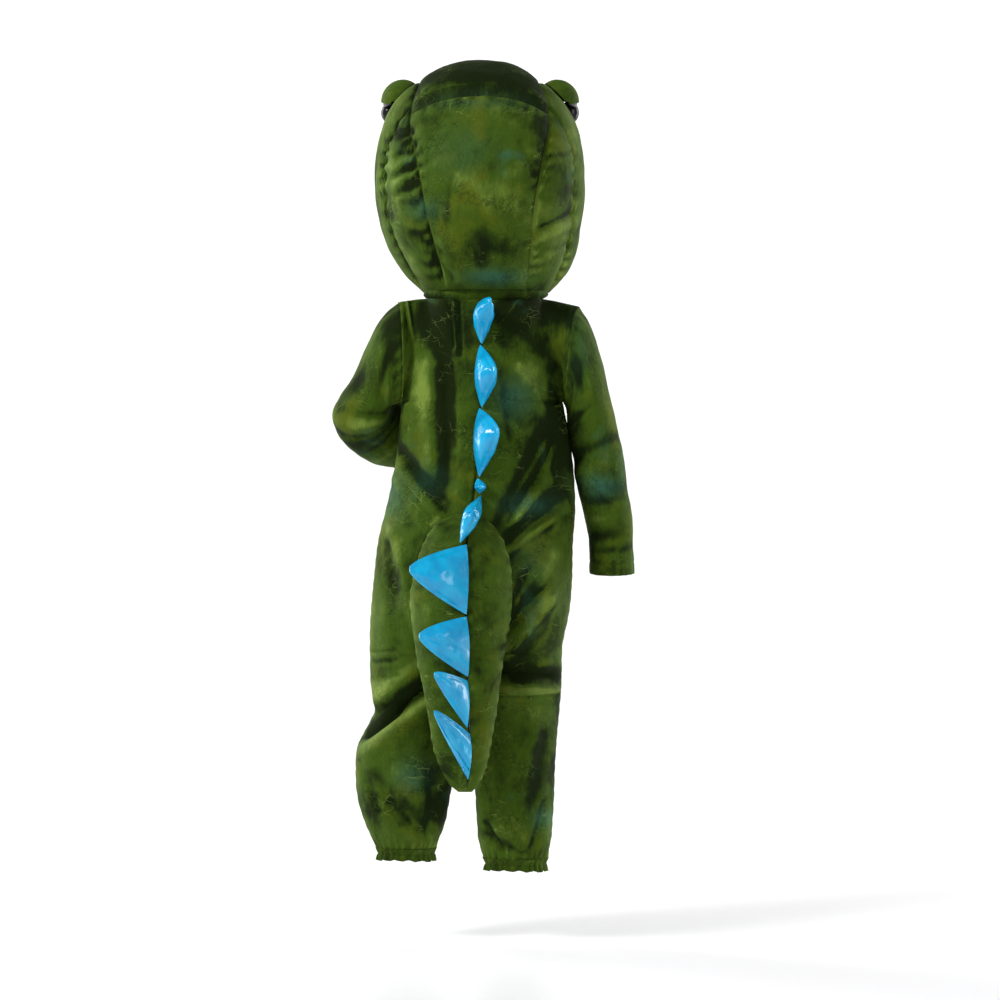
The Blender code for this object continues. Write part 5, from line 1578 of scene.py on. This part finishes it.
def glossy_black(name, colour):
    finish, tree, shader = new_finish(name)
    flat = node(tree, "UVMap", uv_map="flat").outputs["UV"]
    cloud = grain(tree, flat, 240.0, 3.0)
    shade = blend_colours(tree, cloud, (*colour, 1.0), (0.02, 0.02, 0.024, 1.0))
    tree.links.new(shade, shader.inputs["Base Color"])
    rough = node(tree, "MapRange")
    feed(tree, rough.inputs["Value"], cloud)
    rough.inputs["To Min"].default_value = 0.05
    rough.inputs["To Max"].default_value = 0.14
    tree.links.new(rough.outputs["Result"], shader.inputs["Roughness"])
    shader.inputs["Coat Weight"].default_value = 0.35
    shader.inputs["Specular IOR Level"].default_value = 0.0
    shader.inputs["Coat Roughness"].default_value = 0.03
    return finish


def matt_black(name, colour):
    finish, tree, shader = new_finish(name)
    flat = node(tree, "UVMap", uv_map="flat").outputs["UV"]
    pile = use_group(tree, "Short pile", Flat=flat)
    shade = blend_colours(tree, pile.outputs["Streak"], (*colour, 1.0), (0.03, 0.032, 0.03, 1.0))
    tree.links.new(shade, shader.inputs["Base Color"])
    shader.inputs["Roughness"].default_value = 0.7
    shader.inputs["Sheen Weight"].default_value = 0.2
    bump = node(tree, "Bump")
    bump.inputs["Strength"].default_value = 0.4
    bump.inputs["Distance"].default_value = 0.0005
    tree.links.new(pile.outputs["Height"], bump.inputs["Height"])
    tree.links.new(bump.outputs["Normal"], shader.inputs["Normal"])
    return finish


# Settings a user would change


def colour_setting(name, description, default):
    return bpy.props.FloatVectorProperty(
        name=name, description=description, default=default, subtype="COLOR", size=3, min=0.0, max=1.0
    )


def length_setting(name, description, default):
    return bpy.props.FloatProperty(
        name=name, description=description, default=default, unit="LENGTH", min=0.0, precision=4
    )


def share_setting(name, description, default):
    return bpy.props.FloatProperty(name=name, description=description, default=default, min=0.0, max=1.5)


def power_setting(name, description, default):
    return bpy.props.FloatProperty(name=name, description=description, default=default, unit="POWER")


class CostumeSizes(bpy.types.PropertyGroup):
    wall: length_setting("Cloth wall", "Thickness of one layer of the pile cloth", 0.0016)
    padding: length_setting("Padding", "Thickness of the padded head", 0.006)
    rumple: length_setting("Rumple", "Depth of the soft unevenness of the cloth", 0.0013)
    seam_dip: length_setting("Seam dip", "Depth to which the cloth is drawn in at a seam", 0.0012)
    crease_share: share_setting("Creases", "Depth of the finer creases, as a share", 1.35)
    pucker_share: share_setting("Puckers", "Depth of the puckers at the head's seams, as a share", 1.0)


class CostumeColours(bpy.types.PropertyGroup):
    # Hollow and Bright are the print's darkest and lightest greens; painted shade runs the colour towards
    # Hollow and painted highlights towards Bright
    hollow: colour_setting("Hollow", "Darkest green of the print", (0.007, 0.014, 0.001))
    ground: colour_setting("Ground", "Main green of the print", (0.042, 0.082, 0.0045))
    bright: colour_setting("Bright", "Lightest green of the print", (0.155, 0.225, 0.036))
    olive: colour_setting("Olive", "Yellow green patches", (0.085, 0.105, 0.003))
    blue_green: colour_setting("Blue green", "Blue green patches", (0.035, 0.13, 0.09))
    line: colour_setting("Scale lines", "Pale lines of the scale print", (0.22, 0.30, 0.07))
    # Colour of the painted sheen at a glancing angle, and tint of the shader's own sheen
    nap: colour_setting("Nap", "Pile seen at a glancing angle", (0.25, 0.36, 0.075))
    backing: colour_setting("Backing", "Knitted back of the cloth", (0.035, 0.07, 0.015))
    spike: colour_setting("Spikes", "Coated cloth of the spikes", (0.0, 0.40, 0.70))
    spike_deep: colour_setting("Spikes, deep", "Deeper blue of the spikes", (0.0, 0.29, 0.58))
    black: colour_setting("Black", "Eyes and eyelid linings", (0.004, 0.004, 0.005))


class StageSettings(bpy.types.PropertyGroup):
    distance: length_setting("Camera distance", "From the camera to the suit's middle plane", 4.0)
    width: length_setting("Picture width", "Width of what the camera sees at the suit", 1.28)
    floor: bpy.props.FloatProperty(
        name="Floor", description="Height of the floor from the shoulder line", default=-0.82, unit="LENGTH"
    )
    key: power_setting("Key light", "Power of the large light from the left", 120.0)
    fill: power_setting("Fill light", "Power of the light from the right", 34.0)
    rim: power_setting("Side lights", "Power of each light at the suit's sides", 55.0)
    backdrop: power_setting("Backdrop lights", "Power of each light on the backdrop", 90.0)


def finishes():
    """Every finish by its name, made once."""
    if "Printed velour" not in bpy.data.materials:
        colours = bpy.context.scene.costume_colours
        print_group()
        crackle_group()
        pile_group()
        velour("Printed velour", colours, (0.0, 0.0, 0.0))
        velour("Printed velour head", colours, (1.7, 2.1, 0.0))
        velour("Printed velour tail", colours, (4.1, 0.6, 0.0))
        velour("Printed velour sleeve", colours, (2.9, 3.3, 0.0))
        knit("Knitted backing", colours.backing)
        coated("Coated blue cloth", colours.spike, colours.spike_deep)
        glossy_black("Glossy black", colours.black)
        matt_black("Matt black pile", colours.black)
    return bpy.data.materials


# Points kept from one step for the pieces that are sewn to them in a later one
MADE = {}


def suit_grids():
    """The four panels' points, made once, because the pieces sewn to them need them."""
    if "panels" not in MADE:
        MADE["panels"] = quarters(bpy.context.scene.costume_sizes)
    return MADE["panels"]


def head_shells():
    if "head" not in MADE:
        size = bpy.context.scene.costume_sizes
        MADE["head"] = {}
        for label, (grid, edges) in head_grids().items():
            MADE["head"][label] = padded(label, grid, edges, size)
    return MADE["head"]


class COSTUME_OT_suit_panels(bpy.types.Operator):
    """Sew the four long panels of the suit"""

    bl_idname = "costume.suit_panels"
    bl_label = "Suit panels"

    def execute(self, context):
        size = context.scene.costume_sizes
        looks = finishes()
        for (side, face), (points, normals, relief) in suit_grids().items():
            node_name = ("back" if face < 0 else "front") + ("_left" if side < 0 else "_right")
            shift = 0.7 * side + 0.31 * face
            piece = lay_grid("suit_" + node_name, points, normals, relief=relief, shift=shift)
            thicken(piece, size.wall)
            wear(piece, [node_name], looks["Printed velour"], looks["Knitted backing"])
            cut(points)
        return {"FINISHED"}


class COSTUME_OT_underlap(bpy.types.Operator):
    """Lay the underlap of the back opening under its edge"""

    bl_idname = "costume.underlap"
    bl_label = "Underlap"

    def execute(self, context):
        points, normals = underlap(suit_grids())
        looks = finishes()
        piece = lay_grid("underlap", points, normals)
        thicken(piece, context.scene.costume_sizes.wall)
        wear(piece, ["back_placket"], looks["Printed velour"], looks["Knitted backing"])
        cut(points)
        return {"FINISHED"}


class COSTUME_OT_sleeves(bpy.types.Operator):
    """Set in the two sleeves"""

    bl_idname = "costume.sleeves"
    bl_label = "Sleeves"

    def execute(self, context):
        size = context.scene.costume_sizes
        looks = finishes()
        for side, node_name in ((-1, "sleeve_left"), (1, "sleeve_right")):
            points, normals, relief = sleeve(suit_grids(), side, size)
            piece = lay_grid("set_in_" + node_name, points, normals, wrap=True, relief=relief)
            thicken(piece, size.wall)
            wear(piece, [node_name], looks["Printed velour sleeve"], looks["Knitted backing"])
            cut(points, wrap=True)
        return {"FINISHED"}


class COSTUME_OT_hems(bpy.types.Operator):
    """Gather the ankles into their elastic casings, and sew the neck band"""

    bl_idname = "costume.hems"
    bl_label = "Ankle casings and neck band"

    def execute(self, context):
        size = context.scene.costume_sizes
        looks = finishes()
        for side, node_name in ((-1, "ankle_casing_left"), (1, "ankle_casing_right")):
            points = casing(side)
            outward = points - points.mean(1, keepdims=True)
            piece = lay_grid("gathered_" + node_name, points, outward, wrap=True)
            thicken(piece, size.wall)
            wear(piece, [node_name], looks["Printed velour"], looks["Knitted backing"])
            cut(points, wrap=True)
        points, away = neck_band(suit_grids())
        piece = lay_grid("collar_band", points, np.broadcast_to(away, points.shape), wrap=True)
        thicken(piece, size.wall)
        wear(piece, ["neck_band"], looks["Printed velour head"], looks["Knitted backing"])
        cut(points, wrap=True)
        return {"FINISHED"}


class COSTUME_OT_head(bpy.types.Operator):
    """Pad the six pieces of the dinosaur head"""

    bl_idname = "costume.head"
    bl_label = "Padded head"

    def execute(self, context):
        size = context.scene.costume_sizes
        looks = finishes()
        for number, (label, (points, normals, relief)) in enumerate(head_shells().items()):
            look = {"relief": relief, "middle": HEAD_Y, "shift": 0.45 * number}
            piece = lay_grid("head_" + label, points, normals, **look)
            thicken(piece, size.padding)
            wear(piece, ["hood_" + label], looks["Printed velour head"], looks["Knitted backing"])
        return {"FINISHED"}


class COSTUME_OT_eyes(bpy.types.Operator):
    """Set the glossy eyes under their lined lids"""

    bl_idname = "costume.eyes"
    bl_label = "Eyes and lids"

    def execute(self, context):
        looks = finishes()
        tree = search_tree([shell[0] for shell in head_shells().values()])
        for side, end in ((-1, "left"), (1, "right")):
            rings = eye_rings(tree, side)
            outward = rings - rings.mean(axis=(0, 1))
            eye = lay_grid("dome_eye_" + end, rings, outward, wrap=True)
            close_ends(eye)
            soften(eye)
            wear(eye, ["eye_" + end], looks["Glossy black"])
            lid, centre = lid_grid(tree, side, LID_RADIUS)
            flap = lay_grid("flap_eyelid_" + end, lid, lid - centre, middle=-60.0)
            thicken(flap, LID_WALL * MM * 0.9)
            wear(flap, ["eyelid_" + end], looks["Printed velour head"], looks["Matt black pile"])
            cut(lid)
            lining, centre = lid_grid(tree, side, LID_RADIUS - LID_WALL - SEAT, LID_SWEEP + LINING_SHOWS)
            inner = lay_grid("lining_eyelid_" + end, lining, lining - centre)
            thicken(inner, LINING_WALL * MM)
            wear(inner, ["eyelid_lining_" + end], looks["Matt black pile"], looks["Matt black pile"])
            cut(lining)
        return {"FINISHED"}


class COSTUME_OT_tail(bpy.types.Operator):
    """Stuff the two halves of the tail"""

    bl_idname = "costume.tail"
    bl_label = "Tail"

    def execute(self, context):
        size = context.scene.costume_sizes
        looks = finishes()
        panels = suit_grids()
        tree = search_tree([panels[-1, -1][0], panels[1, -1][0]])
        shells = []
        for side, end in ((-1, "left"), (1, "right")):
            rings, outward, relief = tail_half(tree, side, size)
            shells.append(rings[:, : TAIL_STEPS + 1])
            look = {"relief": relief, "shift": 0.4 * side}
            piece = lay_grid("stuffed_tail_" + end, rings, outward, wrap=True, **look)
            close_ends(piece)
            soften(piece)
            wear(piece, ["tail_" + end], looks["Printed velour tail"])
        MADE["tail"] = shells
        return {"FINISHED"}


class COSTUME_OT_spikes(bpy.types.Operator):
    """Sew the nine glossy spikes down the back and the tail"""

    bl_idname = "costume.spikes"
    bl_label = "Spikes"

    def execute(self, context):
        looks = finishes()
        panels = suit_grids()
        tree = search_tree([panels[-1, -1][0], panels[1, -1][0]] + MADE["tail"])
        for number, row in enumerate(SPIKES, 1):
            rings, outward = spike_rings(tree, row)
            piece = lay_grid("glossy_spike_" + str(number), rings, outward, wrap=True, shift=0.3 * number)
            close_ends(piece)
            soften(piece, 50)
            wear(piece, ["spike_" + str(number)], looks["Coated blue cloth"])
        return {"FINISHED"}


def area_light(name, place, aim, power, size, colour=(1.0, 1.0, 1.0)):
    bpy.ops.object.light_add(type="AREA", location=place)
    lamp = bpy.context.object
    lamp.name = name
    lamp.data.shape = "RECTANGLE"
    lamp.data.size, lamp.data.size_y = size
    lamp.data.energy = power
    lamp.data.color = colour
    lamp.rotation_euler = (Vector(aim) - Vector(place)).to_track_quat("-Z", "Y").to_euler()
    return lamp


class COSTUME_OT_stage(bpy.types.Operator):
    """Set the plain floor, the soft lights and the camera"""

    bl_idname = "costume.stage"
    bl_label = "Floor, lights and camera"

    def execute(self, context):
        stage = context.scene.costume_stage
        bpy.ops.object.select_all(action="DESELECT")
        bpy.ops.mesh.primitive_plane_add(size=16.0, location=(0, -3.0, stage.floor))
        floor = context.object
        floor.name = "Seamless floor"
        bpy.ops.object.transform_apply(location=True, rotation=False, scale=False)
        bpy.ops.object.mode_set(mode="EDIT")
        bpy.ops.mesh.select_all(action="DESELECT")
        bpy.ops.object.mode_set(mode="OBJECT")
        for edge in floor.data.edges:
            ends = [floor.data.vertices[index].co.y for index in edge.vertices]
            edge.select = min(ends) > 4.9
        bpy.ops.object.mode_set(mode="EDIT")
        bpy.ops.mesh.select_mode(type="EDGE")
        bpy.ops.mesh.extrude_region_move(TRANSFORM_OT_translate={"value": (0, 0, 7.0)})
        bpy.ops.mesh.select_all(action="DESELECT")
        bpy.ops.object.mode_set(mode="OBJECT")
        for edge in floor.data.edges:
            ends = [floor.data.vertices[index].co for index in edge.vertices]
            edge.select = all(end.y > 4.9 and end.z < stage.floor + 0.01 for end in ends)
        bpy.ops.object.mode_set(mode="EDIT")
        bpy.ops.mesh.bevel(offset=1.6, segments=24, affect="EDGES")
        bpy.ops.object.mode_set(mode="OBJECT")
        bpy.ops.object.shade_smooth()
        paper, tree, shader = new_finish("Pale paper")
        tone = grain(tree, node(tree, "TexCoord").outputs["Object"], 2.0)
        shade = blend_colours(tree, tone, (0.8, 0.8, 0.81, 1.0), (0.84, 0.84, 0.845, 1.0))
        tree.links.new(shade, shader.inputs["Base Color"])
        shader.inputs["Roughness"].default_value = 0.35
        shader.inputs["Specular IOR Level"].default_value = 0.3
        floor.data.materials.append(paper)
        world = bpy.data.worlds.new("Pale studio")
        world.use_nodes = True
        world.node_tree.nodes["Background"].inputs["Color"].default_value = (1.0, 1.0, 1.0, 1.0)
        world.node_tree.nodes["Background"].inputs["Strength"].default_value = 0.3
        context.scene.world = world
        middle = (0.0, 0.0, -0.25)
        backdrop = (0.0, 6.0, 0.6)
        area_light("Key", (-2.6, -1.9, 1.9), middle, stage.key, (1.0, 1.0))
        area_light("Fill", (2.5, -2.2, 0.5), middle, stage.fill, (1.4, 2.0))
        area_light("Left side", (-2.4, 1.4, 0.4), middle, stage.rim, (1.0, 2.4))
        area_light("Right side", (2.4, 1.4, 0.4), middle, stage.rim, (1.0, 2.4))
        area_light("Backdrop left", (-3.0, 2.2, 1.6), backdrop, stage.backdrop, (2.0, 2.0))
        area_light("Backdrop right", (3.0, 2.2, 1.6), backdrop, stage.backdrop, (2.0, 2.0))
        aim_x, aim_z = PICTURE_AIM
        bpy.ops.object.camera_add(location=(aim_x, -stage.distance, aim_z), rotation=(radians(90), 0, 0))
        camera = context.object
        camera.name = "Picture camera"
        camera.data.sensor_width = 36.0
        camera.data.lens = 36.0 * stage.distance / stage.width
        camera.data.clip_end = 60.0
        context.scene.camera = camera
        context.scene.view_settings.view_transform = "Standard"
        return {"FINISHED"}


STEPS = (
    COSTUME_OT_stage,
    COSTUME_OT_suit_panels,
    COSTUME_OT_underlap,
    COSTUME_OT_sleeves,
    COSTUME_OT_hems,
    COSTUME_OT_head,
    COSTUME_OT_eyes,
    COSTUME_OT_tail,
    COSTUME_OT_spikes,
)


class COSTUME_PT_panel(bpy.types.Panel):
    """Sizes, colours and pieces of the costume"""

    bl_label = "Dinosaur costume"
    bl_idname = "COSTUME_PT_panel"
    bl_space_type = "VIEW_3D"
    bl_region_type = "UI"
    bl_category = "Costume"

    def draw(self, context):
        scene = context.scene
        groups = (scene.costume_sizes, scene.costume_colours, scene.costume_stage)
        for title, group in zip(("Sizes", "Colours", "Stage"), groups):
            box = self.layout.box()
            box.label(text=title)
            for name in group.bl_rna.properties.keys():
                if name not in ("rna_type", "name"):
                    box.prop(group, name)
        for step in STEPS:
            self.layout.operator(step.bl_idname)


CLASSES = (CostumeSizes, CostumeColours, StageSettings, *STEPS, COSTUME_PT_panel)


def register():
    for kind in CLASSES:
        bpy.utils.register_class(kind)
    bpy.types.Scene.costume_sizes = bpy.props.PointerProperty(type=CostumeSizes)
    bpy.types.Scene.costume_colours = bpy.props.PointerProperty(type=CostumeColours)
    bpy.types.Scene.costume_stage = bpy.props.PointerProperty(type=StageSettings)


def unregister():
    del bpy.types.Scene.costume_stage
    del bpy.types.Scene.costume_colours
    del bpy.types.Scene.costume_sizes
    for kind in reversed(CLASSES):
        bpy.utils.unregister_class(kind)


def main():
    register()
    for step in STEPS:
        group, name = step.bl_idname.split(".")
        getattr(getattr(bpy.ops, group), name)()


if __name__ == "__main__":
    main()
